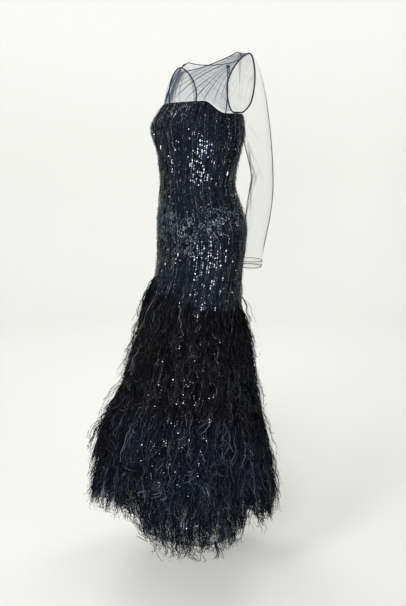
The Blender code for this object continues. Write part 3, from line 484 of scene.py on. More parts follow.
class Shader:
    """A material under construction, with one Principled shader."""

    def __init__(self, name):
        self.material = bpy.data.materials.new(name)
        self.material.use_nodes = True
        self.tree = self.material.node_tree
        self.tree.nodes.clear()
        self.surface = self.node("ShaderNodeBsdfPrincipled")
        self.node("ShaderNodeOutputMaterial", inputs={"Surface": self.surface.outputs[0]})

    def node(self, kind, settings=None, inputs=None):
        """Add a node, set it up, then fill or link its sockets."""
        made = self.tree.nodes.new(kind)
        for name, value in (settings or {}).items():
            if name == "stops":
                ramp = made.color_ramp
                while len(ramp.elements) < len(value):
                    ramp.elements.new(0.5)
                for element, (place, colour) in zip(ramp.elements, value):
                    element.position, element.color = place, (*colour, 1.0)
            else:
                setattr(made, name, value)
        for name, value in (inputs or {}).items():
            self.fill(made.inputs[name], value)
        return made

    def fill(self, socket, value):
        """Set a socket's value, or link another socket to it."""
        if isinstance(value, Value):
            value = value.socket
        if isinstance(value, bpy.types.NodeSocket):
            self.tree.links.new(value, socket)
        else:
            socket.default_value = value

    def set(self, **inputs):
        """Fill the Principled shader's sockets, named with underscores."""
        for name, value in inputs.items():
            self.fill(self.surface.inputs[name.replace("_", " ")], value)

    def place(self):
        """Return object coordinates."""
        return self.node("ShaderNodeTexCoord").outputs["Object"]

    def tone(self):
        """Return the mesh's own tone, from 0 to 1."""
        node = self.node("ShaderNodeAttribute", {"attribute_name": "tone"})
        return Value(self, node.outputs["Fac"])

    def noise(self, scale, detail=3.0, stretch=(1, 1, 1)):
        """Return soft noise from 0 to 1 over the surface."""
        mapping = self.node("ShaderNodeMapping", inputs={"Vector": self.place(), "Scale": stretch})
        node = self.node("ShaderNodeTexNoise", inputs={"Vector": mapping.outputs[0], "Scale": scale,
                                                       "Detail": detail})
        return Value(self, node.outputs["Fac"])

    def ramp(self, factor, stops):
        """Return a colour that runs through stops."""
        return self.node("ShaderNodeValToRGB", {"stops": stops}, {"Fac": factor}).outputs["Color"]

    def height(self, top, bottom):
        """Return 0 above one height, 1 below another and a blend between them."""
        split = self.node("ShaderNodeSeparateXYZ", inputs={"Vector": self.place()})
        node = self.node("ShaderNodeMapRange", inputs={"Value": split.outputs["Z"],
                                                       "From Min": top, "From Max": bottom})
        return Value(self, node.outputs["Result"])

    def mix(self, factor, first, second):
        """Return a blend of two colours."""
        node = self.node("ShaderNodeMix", {"data_type": "RGBA"}, {0: factor, 6: first, 7: second})
        return node.outputs[2]

    def bump(self, height, strength, distance):
        """Bend the light over a height."""
        node = self.node("ShaderNodeBump", inputs={"Height": height, "Strength": strength,
                                                   "Distance": distance})
        self.set(Normal=node.outputs["Normal"])


class ClothColours(bpy.types.PropertyGroup):
    """Colours of the gown's cloth."""

    tulle: bpy.props.FloatVectorProperty(
        name="Tulle", description="Colour of the sequinned tulle's ground", subtype="COLOR",
        size=3, min=0.0, max=1.0, default=(0.0030, 0.0052, 0.0100))
    yoke: bpy.props.FloatVectorProperty(
        name="Yoke", description="Colour of the sheer yoke", subtype="COLOR",
        size=3, min=0.0, max=1.0, default=(0.018, 0.032, 0.068))
    yoke_cover: bpy.props.FloatProperty(
        name="Yoke cover", description="Share of light that the flat yoke stops", min=0.0,
        max=1.0, default=0.125, subtype="FACTOR")
    sleeve_cover: bpy.props.FloatProperty(
        name="Sleeve cover", description="Share of light that one sleeve wall stops", min=0.0,
        max=1.0, default=0.046, subtype="FACTOR")


class SequinSizes(bpy.types.PropertyGroup):
    """Sizes of the sequin strings."""

    strings: bpy.props.IntProperty(
        name="Strings", description="Strings of sequins round the body", min=10, max=400,
        default=140)
    radius: bpy.props.FloatProperty(
        name="Radius", description="Radius of one sequin", unit="LENGTH", min=0.0005, max=0.01,
        default=0.0016)
    pitch: bpy.props.FloatProperty(
        name="Pitch", description="Distance from one sequin to the next on a string",
        unit="LENGTH", min=0.001, max=0.02, default=0.0028)
    tilt: bpy.props.FloatProperty(
        name="Tilt", description="Angle at which each sequin laps over the next", subtype="ANGLE",
        min=0.0, max=1.0, default=math.radians(13))


class FeatherSizes(bpy.types.PropertyGroup):
    """Sizes of the ostrich fringe."""

    barbs: bpy.props.IntProperty(
        name="Barbs", description="Long barbs in one tier", min=100, max=20000, default=2650)
    curls: bpy.props.IntProperty(
        name="Curls", description="Short curly barbs in one tier", min=100, max=20000,
        default=3750)
    wisps: bpy.props.IntProperty(
        name="Wisps", description="Hooked outer barbs in one tier", min=10, max=5000,
        default=620)
    width: bpy.props.FloatProperty(
        name="Width", description="Width of a barb at its root", unit="LENGTH", min=0.0002,
        max=0.01, default=0.0018)
    lift: bpy.props.FloatProperty(
        name="Lift", description="How far the tips stand off the skirt", unit="LENGTH", min=0.0,
        max=0.1, default=0.013)


class StageLight(bpy.types.PropertyGroup):
    """Light and floor of the studio."""

    key: bpy.props.FloatProperty(
        name="Key", description="Power of the two small softboxes beside the camera", unit="POWER",
        min=0.0, max=1000.0, default=60.0)
    fill: bpy.props.FloatProperty(
        name="Fill", description="Power of each large overhead softbox", unit="POWER", min=0.0,
        max=1000.0, default=10.0)
    backdrop: bpy.props.FloatProperty(
        name="Backdrop", description="Power of each softbox on the sweep", unit="POWER", min=0.0,
        max=1000.0, default=45.5)
    sky: bpy.props.FloatProperty(
        name="Sky", description="Strength of the even light from all round", min=0.0, max=5.0,
        default=0.38)
    floor: bpy.props.FloatVectorProperty(
        name="Floor", description="Colour of the floor and sweep", subtype="COLOR", size=3,
        min=0.0, max=1.0, default=(0.80, 0.80, 0.785))


def tulle_finish():
    """Make the sequinned tulle's ground: navy net with a fine weave, sheer at the hem."""
    colours = bpy.context.scene.gown_cloth
    shader = Shader("sequinned_tulle_ground")
    base = np.array(colours.tulle)
    cloud = shader.noise(22.0)
    shader.set(Base_Color=shader.ramp(cloud, [(0.30, base * 0.5), (0.72, base * 1.3)]))
    shader.set(Roughness=0.75, Specular_IOR_Level=0.05, Alpha=1.0 - 0.80 * shader.tone())
    shader.bump(shader.noise(900.0, 2.0, (1, 1, 0.4)), 0.35, 0.0005)
    return shader.material


def sequin_finish():
    """Make the sequins' dark foil, each with its own shade and polish, lighter where a painted
    reflection lies.
    """
    shader = Shader("sequin_foil")
    tone = shader.tone()
    shader.set(Base_Color=shader.ramp(tone, [(0.0, (0.002, 0.003, 0.004)),
                                             (0.35, (0.020, 0.028, 0.042)),
                                             (0.65, (0.066, 0.070, 0.080)),
                                             (1.0, (0.220, 0.205, 0.190))]))
    shader.set(Roughness=0.07 + 0.10 * tone, Metallic=0.80 - 0.55 * tone, Specular_IOR_Level=0.30)
    return shader.material


def skirt_sequin_finish():
    """Make the foil of the sparse sequins that hang among the feathers."""
    shader = Shader("skirt_sequin_foil")
    shader.set(Base_Color=shader.ramp(shader.tone(), [(0.0, (0.018, 0.023, 0.032)),
                                                      (1.0, (0.100, 0.115, 0.140))]))
    shader.set(Roughness=0.19, Metallic=0.60)
    return shader.material


def bead_finish():
    """Make the pale silver-blue beads."""
    shader = Shader("silver_blue_beads")
    shader.set(Base_Color=shader.ramp(shader.tone(), [(0.0, (0.020, 0.030, 0.042)),
                                                      (0.5, (0.098, 0.150, 0.190)),
                                                      (0.8, (0.300, 0.385, 0.440)),
                                                      (1.0, (0.700, 0.750, 0.780))]))
    shader.set(Roughness=0.25, Metallic=0.25, Specular_IOR_Level=0.3)
    return shader.material


def rosette_finish():
    """Make the rosettes' dark faceted beads."""
    shader = Shader("dark_rosette_beads")
    shader.set(Base_Color=shader.ramp(shader.tone(), [(0.0, (0.002, 0.002, 0.003)),
                                                      (1.0, (0.008, 0.009, 0.012))]))
    shader.set(Roughness=0.20, Specular_IOR_Level=0.06)
    return shader.material


def yoke_finish():
    """Make the sheer tulle: it stops more light where its tone is high, in folds and edges."""
    colours = bpy.context.scene.gown_cloth
    shader = Shader("sheer_navy_tulle")
    tone = shader.tone()
    base = np.array(colours.yoke)
    shader.set(Base_Color=shader.ramp(tone, [(0.0, base * 1.3), (1.0, base * 0.8)]))
    grain = shader.noise(1400.0, 1.0)
    shader.set(Alpha=colours.yoke_cover + 0.75 * tone + 0.10 * (grain - 0.5), Roughness=0.85,
               Specular_IOR_Level=0.05)
    return shader.material


def sleeve_finish():
    """Make the very fine net of the sleeves."""
    colours = bpy.context.scene.gown_cloth
    shader = Shader("fine_sleeve_net")
    tone = shader.tone()
    shader.set(Base_Color=(0.030, 0.036, 0.055, 1.0))
    grain = shader.noise(1100.0, 1.0)
    shader.set(Alpha=colours.sleeve_cover + 0.85 * tone + 0.02 * (grain - 0.5), Roughness=0.9,
               Specular_IOR_Level=0.05)
    return shader.material


def binding_finish():
    """Make the dark rolled bindings with a twill of fine threads."""
    shader = Shader("navy_binding")
    grain = shader.noise(1800.0, 2.0)
    shader.set(Base_Color=shader.ramp(grain, [(0.3, (0.006, 0.008, 0.016)),
                                              (0.7, (0.018, 0.023, 0.042))]))
    shader.set(Roughness=0.75, Specular_IOR_Level=0.2)
    shader.bump(grain, 0.5, 0.0002)
    return shader.material


def feather_finish():
    """Make the ostrich barbs: brown-black above, bluer and lighter towards the hem, a few of them
    pale.
    """
    shader = Shader("ostrich_barbs")
    tone = shader.tone()
    brown = shader.ramp(tone, [(0.0, (0.0007, 0.0006, 0.0007)), (0.40, (0.0048, 0.0042, 0.0054)),
                               (0.70, (0.0290, 0.0275, 0.0330)), (1.0, (0.1000, 0.0960, 0.1050))])
    blue = shader.ramp(tone, [(0.0, (0.0007, 0.0010, 0.0018)), (0.40, (0.0056, 0.0094, 0.0186)),
                              (0.70, (0.0480, 0.0600, 0.0840)), (1.0, (0.1850, 0.2080, 0.2450))])
    # Bluer and lighter low on the skirt and in patches; the lift in lightness partly stands in for
    # fill light, a painted light
    patches = 0.85 * shader.height(-0.80, -1.10) + 2.2 * (shader.noise(7.0, 1.0) - 0.5)
    shader.set(Base_Color=shader.mix(patches, brown, blue))
    shader.set(Roughness=0.60, Specular_IOR_Level=0.03)
    return shader.material


def metal_finish():
    """Make dark enamelled metal with faint wear."""
    shader = Shader("dark_zip_metal")
    wear = shader.noise(260.0)
    base = np.array((0.045, 0.050, 0.065))
    shader.set(Base_Color=shader.ramp(wear, [(0.35, base * 0.8), (0.75, base * 1.4)]))
    shader.set(Metallic=0.85, Roughness=0.30 + 0.12 * wear)
    return shader.material


def make_panels():
    """Cut the seven long panels of the body."""
    finish = tulle_finish()
    rows = int(round((TOP_LEVEL - HEM_LEVEL) / PANEL_ROW)) + 1
    levels = np.linspace(TOP_LEVEL, HEM_LEVEL, rows)
    for name, (first, last) in PANELS.items():
        columns = int(round((last - first) / PANEL_COLUMN)) + 1
        angle, level = np.meshgrid(np.linspace(first, last, columns), levels)
        reach = SURFACE.read(angle, level)[4]
        beside_zip = ZIP_HALF * smooth_step((level - ZIP_GAP_FOOT) / ZIP_GAP_FADE)
        first_gap = np.where(first == 180, beside_zip, 0.0)[:, 0] + HALF_SEAM
        last_gap = np.where(last == 180, beside_zip, 0.0)[:, 0] + HALF_SEAM
        angle[:, 0] += first_gap / reach[:, 0]
        angle[:, -1] -= last_gap / reach[:, -1]
        points, normals = SURFACE.read(angle, level)[:2]
        roll = np.zeros(columns)
        roll[[0, -1]] = EDGE_ROLL
        outer = points - normals * roll[None, :, None]
        inner = points - normals * CLOTH_WALL
        sheer = smooth_step((HEM_SHEER_TOP - level) / (HEM_SHEER_TOP - HEM_LEVEL))
        hem = np.exp(-((level - HEM_LEVEL) / HEM_EDGE) ** 2)
        tone = np.clip(sheer - HEM_EDGE_COVER * hem, 0.0, 1.0).ravel()
        mesh = make_mesh(f"cloth_{name}", *shell(outer, inner, False), np.tile(tone, 2))
        piece = add_piece(f"cloth_{name}", mesh, finish, [name])
        flat, area = cut_size(outer)


def armhole_points(turns):
    """Return points on the armhole seam, wearer's left, at turns in degrees."""
    before, after = ARMHOLE[-3:].copy(), ARMHOLE[:3].copy()
    before[:, 0] -= 360
    after[:, 0] += 360
    return Profile(np.concatenate([before, ARMHOLE, after])).read(np.asarray(turns, float) % 360)


def mirrored(points):
    """Return points on the other side of the body."""
    return points * np.array((-1.0, 1.0, 1.0))


def lerp(start, end, share):
    """Return the point a share of the way between two points."""
    return start + (end - start) * share


def edged_patch(bottom, top, left, right, across, up):
    """Return a point of the surface ruled from bottom to top, bowed to meet its sides."""
    point = lerp(bottom(across), top(across), up)
    left_bow = left(up) - lerp(bottom(0.0), top(0.0), up)
    right_bow = right(up) - lerp(bottom(1.0), top(1.0), up)
    return point + left_bow * (1 - across) ** SIDE_FADE + right_bow * across ** SIDE_FADE


def shoulder_point(share):
    """Return a point from the neck's side to the shoulder tip, clear of both seams."""
    start = np.array((NECK_HALF_WIDTH + SEAM_INSET, 0.0, 0.0))
    return lerp(start, SHOULDER_TIP - np.array((SEAM_INSET, 0.0, 0.0)), share)


def front_yoke_bottom(share):
    """Return the yoke's foot on the bodice's front top edge."""
    angle = np.array(-YOKE_FRONT_END + 2 * YOKE_FRONT_END * share)
    return cloth_points(angle, np.array(TOP_LEVEL)) + np.array((0.0, 0.0, TOP_GAP))


def front_yoke_top(share):
    """Return the front yoke's top edge: shoulder, neckline, shoulder."""
    side = 2 * share - 1
    reach = abs(side)
    if reach <= NECK_SHARE:
        turn = math.radians(90 * reach / NECK_SHARE)
        point = np.array((NECK_HALF_WIDTH * math.sin(turn) + NECK_CLEAR * math.sin(turn),
                          -NECK_FRONT_DEPTH * math.cos(turn) - LAYER_GAP,
                          -NECK_FRONT_DROP * math.cos(turn) - SEAM_INSET))
    else:
        point = shoulder_point((reach - NECK_SHARE) / (1 - NECK_SHARE))
        point[1] -= LAYER_GAP
    return point if side >= 0 else mirrored(point)


def front_yoke_side(share):
    """Return the yoke's edge along the left armhole."""
    return armhole_points(lerp(*FRONT_ARMHOLE, share)) - np.array((SEAM_INSET, 0.0, 0.0))


def back_yoke_bottom(share):
    """Return the back yoke's foot, from the armhole to the zip."""
    last = 180 - math.degrees(ZIP_HALF / SECTIONS[0, 1])
    angle = np.array(YOKE_BACK_START + (last - YOKE_BACK_START) * share)
    return cloth_points(angle, np.array(TOP_LEVEL)) + np.array((0.0, 0.0, TOP_GAP))


def back_yoke_top(share):
    """Return the back yoke's top edge: shoulder, then neckline."""
    turned = 1 - BACK_NECK_SHARE
    if share < turned:
        point = shoulder_point(1 - share / turned)
    else:
        turn = math.radians(90 * (1 - share) / BACK_NECK_SHARE)
        point = np.array((max(NECK_HALF_WIDTH * math.sin(turn), ZIP_HALF),
                          NECK_BACK_DEPTH * math.cos(turn),
                          -NECK_BACK_DROP * math.cos(turn) - SEAM_INSET - LAYER_GAP))
    point[1] += LAYER_GAP
    return point


def back_yoke_armhole(share):
    """Return the back yoke's edge along the armhole."""
    return armhole_points(lerp(*BACK_ARMHOLE, share)) - np.array((1.3 * SEAM_INSET, 0.0, 0.0))


def back_yoke_zip(share):
    """Return the back yoke's edge along the zip."""
    point = lerp(back_yoke_bottom(1.0), back_yoke_top(1.0), share)
    return point + np.array((0.0, ZIP_BOW * math.sin(math.pi * share), 0.0))


# Gathers from the left shoulder and underarm: start x and z, end x and z, bow, width, depth
YOKE_FOLDS = [
    (0.128, -0.007, 0.044, -0.039, 0.001, 0.0013, 0.0018),
    (0.133, -0.008, 0.006, -0.051, 0.002, 0.0014, 0.0022),
    (0.129, -0.012, 0.034, -0.056, 0.002, 0.0012, 0.0016),
    (0.140, -0.009, -0.012, -0.067, 0.003, 0.0016, 0.0028),
    (0.136, -0.013, 0.024, -0.076, 0.003, 0.0013, 0.0020),
    (0.145, -0.011, -0.004, -0.087, 0.004, 0.0015, 0.0030),
    (0.140, -0.016, 0.034, -0.090, 0.004, 0.0012, 0.0018),
    (0.146, -0.015, 0.016, -0.105, 0.005, 0.0017, 0.0032),
    (0.142, -0.020, 0.052, -0.096, 0.004, 0.0013, 0.0020),
    (0.148, -0.018, 0.058, -0.113, 0.005, 0.0015, 0.0028),
    (0.145, -0.024, 0.076, -0.098, 0.004, 0.0012, 0.0018),
    (0.149, -0.022, 0.080, -0.117, 0.005, 0.0017, 0.0032),
    (0.146, -0.030, 0.098, -0.106, 0.004, 0.0013, 0.0020),
    (0.150, -0.028, 0.101, -0.121, 0.005, 0.0016, 0.0028),
    (0.149, -0.038, 0.114, -0.110, 0.003, 0.0013, 0.0020),
    (0.150, -0.044, 0.124, -0.125, 0.004, 0.0015, 0.0024),
    (0.151, -0.060, 0.136, -0.120, 0.002, 0.0014, 0.0018),
    (0.152, -0.152, 0.140, -0.106, -0.001, 0.0022, 0.0012),
    (0.150, -0.154, 0.130, -0.122, -0.001, 0.0019, 0.0010),
    (0.154, -0.150, 0.147, -0.092, -0.001, 0.0022, 0.0012),
]
# Heavier gathers of the front at the right shoulder, written as on the left
RIGHT_FOLDS = [
    (0.116, -0.006, 0.030, -0.100, 0.020, 0.0026, 0.0028),
    (0.117, -0.006, 0.012, -0.105, 0.026, 0.0026, 0.0030),
    (0.118, -0.007, 0.018, -0.125, 0.031, 0.0024, 0.0032),
    (0.119, -0.007, 0.004, -0.120, 0.030, 0.0030, 0.0030),
    (0.119, -0.008, -0.008, -0.122, 0.032, 0.0022, 0.0028),
    (0.120, -0.008, -0.024, -0.114, 0.030, 0.0024, 0.0024),
    (0.119, -0.008, 0.012, -0.130, 0.030, 0.0150, 0.0032),
    (0.122, -0.009, 0.040, -0.128, 0.024, 0.0028, 0.0030),
    (0.126, -0.010, 0.062, -0.126, 0.016, 0.0026, 0.0028),
    (0.136, -0.012, 0.090, -0.122, 0.010, 0.0026, 0.0026),
    (0.145, -0.016, 0.118, -0.112, 0.005, 0.0024, 0.0024),
]
RIGHT_FOLD_SHIFT = 0.004
# Share of light stopped: plain front, gathers, edges and near the shoulders
FRONT_GROUND, GATHER_SHADE, EDGE_SHADE, SHOULDER_SHADE = 0.18, 0.95, 0.20, 0.04


def fold_height(points, side, folds):
    """Return the height of the gathers of one side, and how dense the net lies on them."""
    place = np.stack([side * points[..., 0], points[..., 2]], axis=-1)
    rise = np.zeros(place.shape[:-1])
    dense = np.zeros(place.shape[:-1])
    for x0, z0, x1, z1, bow, width, depth in folds:
        start, end = np.array((x0, z0)), np.array((x1, z1))
        if side < 0:
            end = end + np.array((-RIGHT_FOLD_SHIFT, 0.5 * RIGHT_FOLD_SHIFT))
        run = end - start
        length = np.linalg.norm(run)
        along = (place - start) @ (run / length)
        share = along / length
        off = (place - start) @ (np.array((-run[1], run[0])) / length)
        off = off + bow * np.sin(math.pi * np.clip(share, 0, 1))
        wide = width * (0.8 + 0.7 * np.clip(share, 0, 1))
        fade = (1 - smooth_step((share - 0.78) / 0.40)) * smooth_step((share + 0.25) / 0.25)
        rise += depth * fade * np.exp(-(off / wide) ** 2)
        dense += min(1.1, (depth / 0.003) ** 2) * fade * np.exp(-(off / (0.70 * wide)) ** 2)
    return rise, dense


def make_yoke_piece(name, grid, outward, depth, finish):
    """Make one piece of the sheer yoke with its gathers."""
    front = outward < 0
    far_folds = RIGHT_FOLDS + [fold for fold in YOKE_FOLDS if fold[2] > 0.09]
    left = fold_height(grid, 1, YOKE_FOLDS)
    right = fold_height(grid, -1, far_folds if front else YOKE_FOLDS)
    height, dense = left[0] + right[0], left[1] + right[1]
    rows, columns = grid.shape[:2]
    c = np.arange(columns) / (columns - 1)
    r = np.arange(rows) / (rows - 1)
    hold = np.minimum(1.0, 12.0 * np.minimum(c, 1 - c))[None, :] * np.minimum(
        1.0, 10.0 * np.minimum(r, 1 - r))[:, None]
    cloth = grid.copy()
    cloth[..., 1] += outward * depth * height * hold
    edge = np.exp(-np.minimum(c, 1 - c) / 0.035)[None, :] * np.ones((rows, 1))
    near_shoulder = np.exp(-((np.abs(grid[..., 0]) - 0.150) ** 2 + grid[..., 2] ** 2) / 0.055 ** 2)
    tone = (FRONT_GROUND if front else 0.0) + GATHER_SHADE * depth * dense
    tone = np.clip(tone + EDGE_SHADE * edge + SHOULDER_SHADE * near_shoulder, 0.0, 1.0)
    mesh = make_mesh(name, cloth.reshape(-1, 3), [grid_faces(rows, columns, False)], tone.ravel())
    piece = add_piece(name, mesh, finish, [name.replace("tulle_", "")])
    flat, area = cut_size(grid)


def ruled_grid(rows, columns, bottom, top, left, right):
    """Return a grid of points on a patch between four edges."""
    return np.array([[edged_patch(bottom, top, left, right, c / (columns - 1), r / (rows - 1))
                      for c in range(columns)] for r in range(rows)])


def make_yoke():
    """Cut the sheer yoke: one front and two backs."""
    finish = yoke_finish()
    rows, columns = 76, 320
    front = ruled_grid(rows, columns, front_yoke_bottom, front_yoke_top,
                       lambda up: mirrored(front_yoke_side(up)), front_yoke_side)
    c = np.arange(columns) / (columns - 1)
    r = np.arange(rows) / (rows - 1)
    front[..., 1] -= YOKE_BOW * np.sin(math.pi * c)[None, :] * np.sin(math.pi * r)[:, None]
    make_yoke_piece("tulle_yoke_front", front, -1, 1.0, finish)
    back = ruled_grid(40, 80, back_yoke_bottom, back_yoke_top, back_yoke_armhole, back_yoke_zip)
    make_yoke_piece("tulle_yoke_back_left", back, 1, BACK_GATHER, finish)
    make_yoke_piece("tulle_yoke_back_right", mirrored(back)[:, ::-1], 1, BACK_GATHER, finish)


def tube_grid(path, radius, sides, closed, guide):
    """Return rings of points along a path."""
    if closed:
        tangent = np.roll(path, -1, axis=0) - np.roll(path, 1, axis=0)
    else:
        tangent = np.gradient(path, axis=0)
    tangent = unit(tangent)
    across = unit(np.cross(tangent, guide))
    up = np.cross(across, tangent)
    turn = 2 * math.pi * np.arange(sides) / sides
    return path[:, None, :] + radius * (across[:, None, :] * np.cos(turn)[None, :, None]
                                        + up[:, None, :] * np.sin(turn)[None, :, None])


def make_tube(name, path, radius, sides, closed, guide, finish, nodes):
    """Make a round cord along a path."""
    rings = tube_grid(path, radius, sides, closed, guide)
    faces = [grid_faces(len(path), sides, True)]
    if closed:
        last, k = (len(path) - 1) * sides, np.arange(sides)
        n = (k + 1) % sides
        faces.append(np.stack([last + k, last + n, n, k], axis=-1))
    else:
        faces.append(np.arange(sides)[None, :])
        faces.append((len(path) - 1) * sides + np.arange(sides)[None, ::-1])
    return add_piece(name, make_mesh(name, rings.reshape(-1, 3), faces), finish, nodes)


def neck_path():
    """Return the neckline from the zip round the front and back to the zip."""
    first = math.asin(ZIP_HALF / NECK_HALF_WIDTH)
    back = np.linspace(first, math.pi / 2, 24)
    rear = np.stack([NECK_HALF_WIDTH * np.sin(back), NECK_BACK_DEPTH * np.cos(back),
                     -NECK_BACK_DROP * np.cos(back)], axis=-1)
    turn = np.linspace(math.pi / 2, -math.pi / 2, 60)[1:-1]
    front = np.stack([NECK_HALF_WIDTH * np.sin(turn), -NECK_FRONT_DEPTH * np.cos(turn),
                      -NECK_FRONT_DROP * np.cos(turn)], axis=-1)
    return np.concatenate([rear, front, mirrored(rear)[::-1]])


def make_bindings():
    """Roll the neck edge and bind both armhole seams."""
    finish = binding_finish()
    make_tube("rolled_neck_edge", neck_path(), 0.0012, 8, False, np.array((0, 0, 1.0)), finish,
              ["neck_binding"])
    ring = armhole_points(np.linspace(0, 360, 90, endpoint=False))
    for label, path in (("left", ring), ("right", mirrored(ring))):
        make_tube(f"bound_armhole_{label}", path, 0.0020, 8, True, np.array((1.0, 0, 0)), finish,
                  [f"armhole_binding_{label}"])


def sleeve_grid(rings, columns):
    """Return rings of points down a sleeve and the centre of each, wearer's left."""
    turns = 360 * np.arange(columns) / columns
    side = np.radians(turns)
    table = Profile(np.concatenate([np.arange(len(rings))[:, None], rings], axis=1))

    def ring_at(place):
        x, y, z, radius, lean = table.read(place)
        lean = math.radians(lean)
        out = np.array((math.cos(lean), 0.0, math.sin(lean)))
        reach = radius - SLEEVE_INSET
        return (np.array((x, y, z)) + reach * (out * np.cos(side)[:, None]
                + np.array((0.0, -1.0, 0.0)) * np.sin(side)[:, None])), np.array((x, y, z))

    first, first_centre = ring_at(0.0)
    start = armhole_points(turns) + np.array((SEAM_INSET, 0.0, 0.0))
    middle = np.stack([start[:, 0], np.full(columns, -0.004), np.full(columns, -0.080)], axis=-1)
    start = start + unit(middle - start) * SLEEVE_INSET
    upper = 0.5 + 0.5 * np.cos(side)
    leave = np.stack([CAP_PULL_OUT * (0.25 + 0.75 * upper), np.zeros(columns), -0.02 * upper],
                     axis=-1)
    arrive = np.stack([np.full(columns, 0.010), np.zeros(columns),
                       -CAP_PULL_DOWN * (0.25 + 0.75 * upper)], axis=-1)
    lines, centres = [], []
    for r in range(CAP_ROWS):
        s = r / CAP_ROWS
        square, cube = s * s, s ** 3
        lines.append(start * (2 * cube - 3 * square + 1) + leave * (cube - 2 * square + s)
                     + first * (3 * square - 2 * cube) + arrive * (cube - square))
        centres.append(lerp(middle.mean(axis=0), first_centre, s))
    for place in np.linspace(0, len(rings) - 1, SLEEVE_ROWS):
        line, centre = ring_at(place)
        lines.append(line)
        centres.append(centre)
    return np.array(lines), np.array(centres)


# Soft creases of a sleeve, where the net lies denser; the darkness of the faint ones is partly
# painted shade:
# place down the sleeve, turn, slant, length, strength
SLEEVE_CREASES = [
    (0.30, 150, 35, 0.10, 0.16), (0.34, 205, -30, 0.09, 0.14), (0.46, 160, 22, 0.12, 0.12),
    (0.52, 200, -18, 0.11, 0.13), (0.57, 170, 26, 0.08, 0.15), (0.60, 215, -24, 0.09, 0.11),
    (0.66, 175, 14, 0.12, 0.10), (0.78, 60, 10, 0.14, 0.07), (0.83, 185, -12, 0.12, 0.09),
    (0.12, 30, 40, 0.08, 0.10), (0.15, 75, 30, 0.09, 0.09), (0.14, 335, -38, 0.08, 0.10),
    (0.50, 92, -16, 0.10, 0.90), (0.57, 79, 18, 0.09, 0.60), (0.64, 96, -12, 0.11, 0.95),
    (0.72, 86, 20, 0.10, 0.75), (0.46, 74, 14, 0.09, 0.40), (0.62, 70, -22, 0.09, 0.45),
    (0.79, 101, -14, 0.10, 0.70), (0.69, 108, 10, 0.08, 0.60),
]
SLEEVE_WAVES, WAVE_RISE = 60, 0.0011
CREASE_RISE, CREASE_WIDTH = 0.0012, 3.5


def make_sleeves():
    """Make the long sleeves of fine net, with their cuffs."""
    finish = sleeve_finish()
    thread = binding_finish()
    for label, (side, rings) in SLEEVES.items():
        columns = SLEEVE_WAVES * 5
        grid, centres = sleeve_grid(rings, columns)
        rows = len(grid)
        down = np.arange(rows) / (rows - 1)
        turn = 360 * np.arange(columns) / columns
        outward = unit(grid - centres[:, None, :])
        ripple = WAVE_RISE * np.sin(np.radians(SLEEVE_WAVES * turn))
        fade = np.minimum(1.0, 14 * np.minimum(down, 1 - down))
        grid = grid + outward * (ripple[None, :] * fade[:, None])[..., None]
        tone = np.zeros((rows, columns))
        for place, at, slant, length, strength in SLEEVE_CREASES:
            along = (down[:, None] - place) / length
            off = angle_between(turn[None, :] + slant * along, at) / CREASE_WIDTH
            line = np.exp(-off * off) * np.exp(-(along * 2.0) ** 4)
            # Darker net in each crease, partly painted shade
            tone += strength * (1.0 if side > 0 else 0.5) * line
            grid = grid + outward * (CREASE_RISE * line)[..., None]
        tone += 0.20 * np.exp(-(down / 0.012) ** 2)[:, None]
        if side < 0:
            grid = mirrored(grid)[:, ::-1]
            tone = tone[:, ::-1]
        name = f"net_sleeve_{label}"
        mesh = make_mesh(name, grid.reshape(-1, 3), [grid_faces(rows, columns, True)],
                         np.clip(tone, 0, 1).ravel())
        piece = add_piece(name, mesh, finish, [f"sleeve_{label}"])
        flat, area = cut_size(sleeve_grid(rings, SLEEVE_WAVES)[0], closed=True)
        make_cuff(label, side, rings, finish, thread)


def on_side(side, points, faces):
    """Return points and faces as they are on the left, or mirrored for the right."""
    if side > 0:
        return points, faces
    return mirrored(points), [block[:, ::-1] for block in faces]


def make_cuff(label, side, rings, finish, thread):
    """Make one turned cuff hem with two rows of stitching."""
    columns = 84
    last, before = rings[-1], rings[-2]
    step = unit(last[:3] - before[:3])
    lean = math.radians(last[4])
    out = np.array((math.cos(lean), 0.0, math.sin(lean)))
    turn = 2 * math.pi * np.arange(columns) / columns
    around = out * np.cos(turn)[:, None] + np.array((0.0, -1.0, 0.0)) * np.sin(turn)[:, None]

    def ring(share, lift=0.0):
        centre = last[:3] + step * (CUFF_GAP + CUFF_HEIGHT * share)
        flute = 0.0004 * np.sin(9 * turn)[:, None] * share
        return centre + around * (last[3] * (1 + CUFF_FLARE * share) + lift + flute)

    shares = (0.0, 0.12, 0.25, 0.40, 0.55, 0.70, 0.85, 0.97, 1.0)
    outer = np.array([ring(share) for share in shares])
    inner = np.array([ring(share, -CUFF_WALL) for share in shares])
    turn_over = np.array([0.06, 0.01, 0.01, 0.01, 0.01, 0.02, 0.06, 0.45, 0.60])
    tone = np.repeat(turn_over[:, None], columns, axis=1)
    points, faces = on_side(side, *shell(outer, inner, True))
    name = f"net_cuff_{label}"
    mesh = make_mesh(name, points, faces, np.tile(tone.ravel(), 2))
    piece = add_piece(name, mesh, finish, [f"cuff_{label}"])
    flat, area = cut_size(outer, closed=True)
    centres, axes = [], []
    for share in STITCH_ROWS:
        line = ring(share, 0.0004)
        for k in range(columns):
            n = (k + 1) % columns
            centres.append(0.5 * (line[k] + line[n]))
            axes.append((unit(line[n] - line[k]), step, around[k]))
    sizes = np.tile(STITCH_SIZE, (len(centres), 1))
    stitches = lay_solids(np.array(centres), np.array(axes), sizes, SEED, SEED_FACES)
    name = f"cuff_stitches_{label}"
    add_piece(name, make_mesh(name, *on_side(side, *stitches)), thread)


def wander(draw, places, pitch, size):
    """Return a line that wanders at random, read at places along a string."""
    knots = np.arange(-0.80, -0.08, pitch)
    return np.interp(places, knots, draw.normal(0, size, len(knots)))


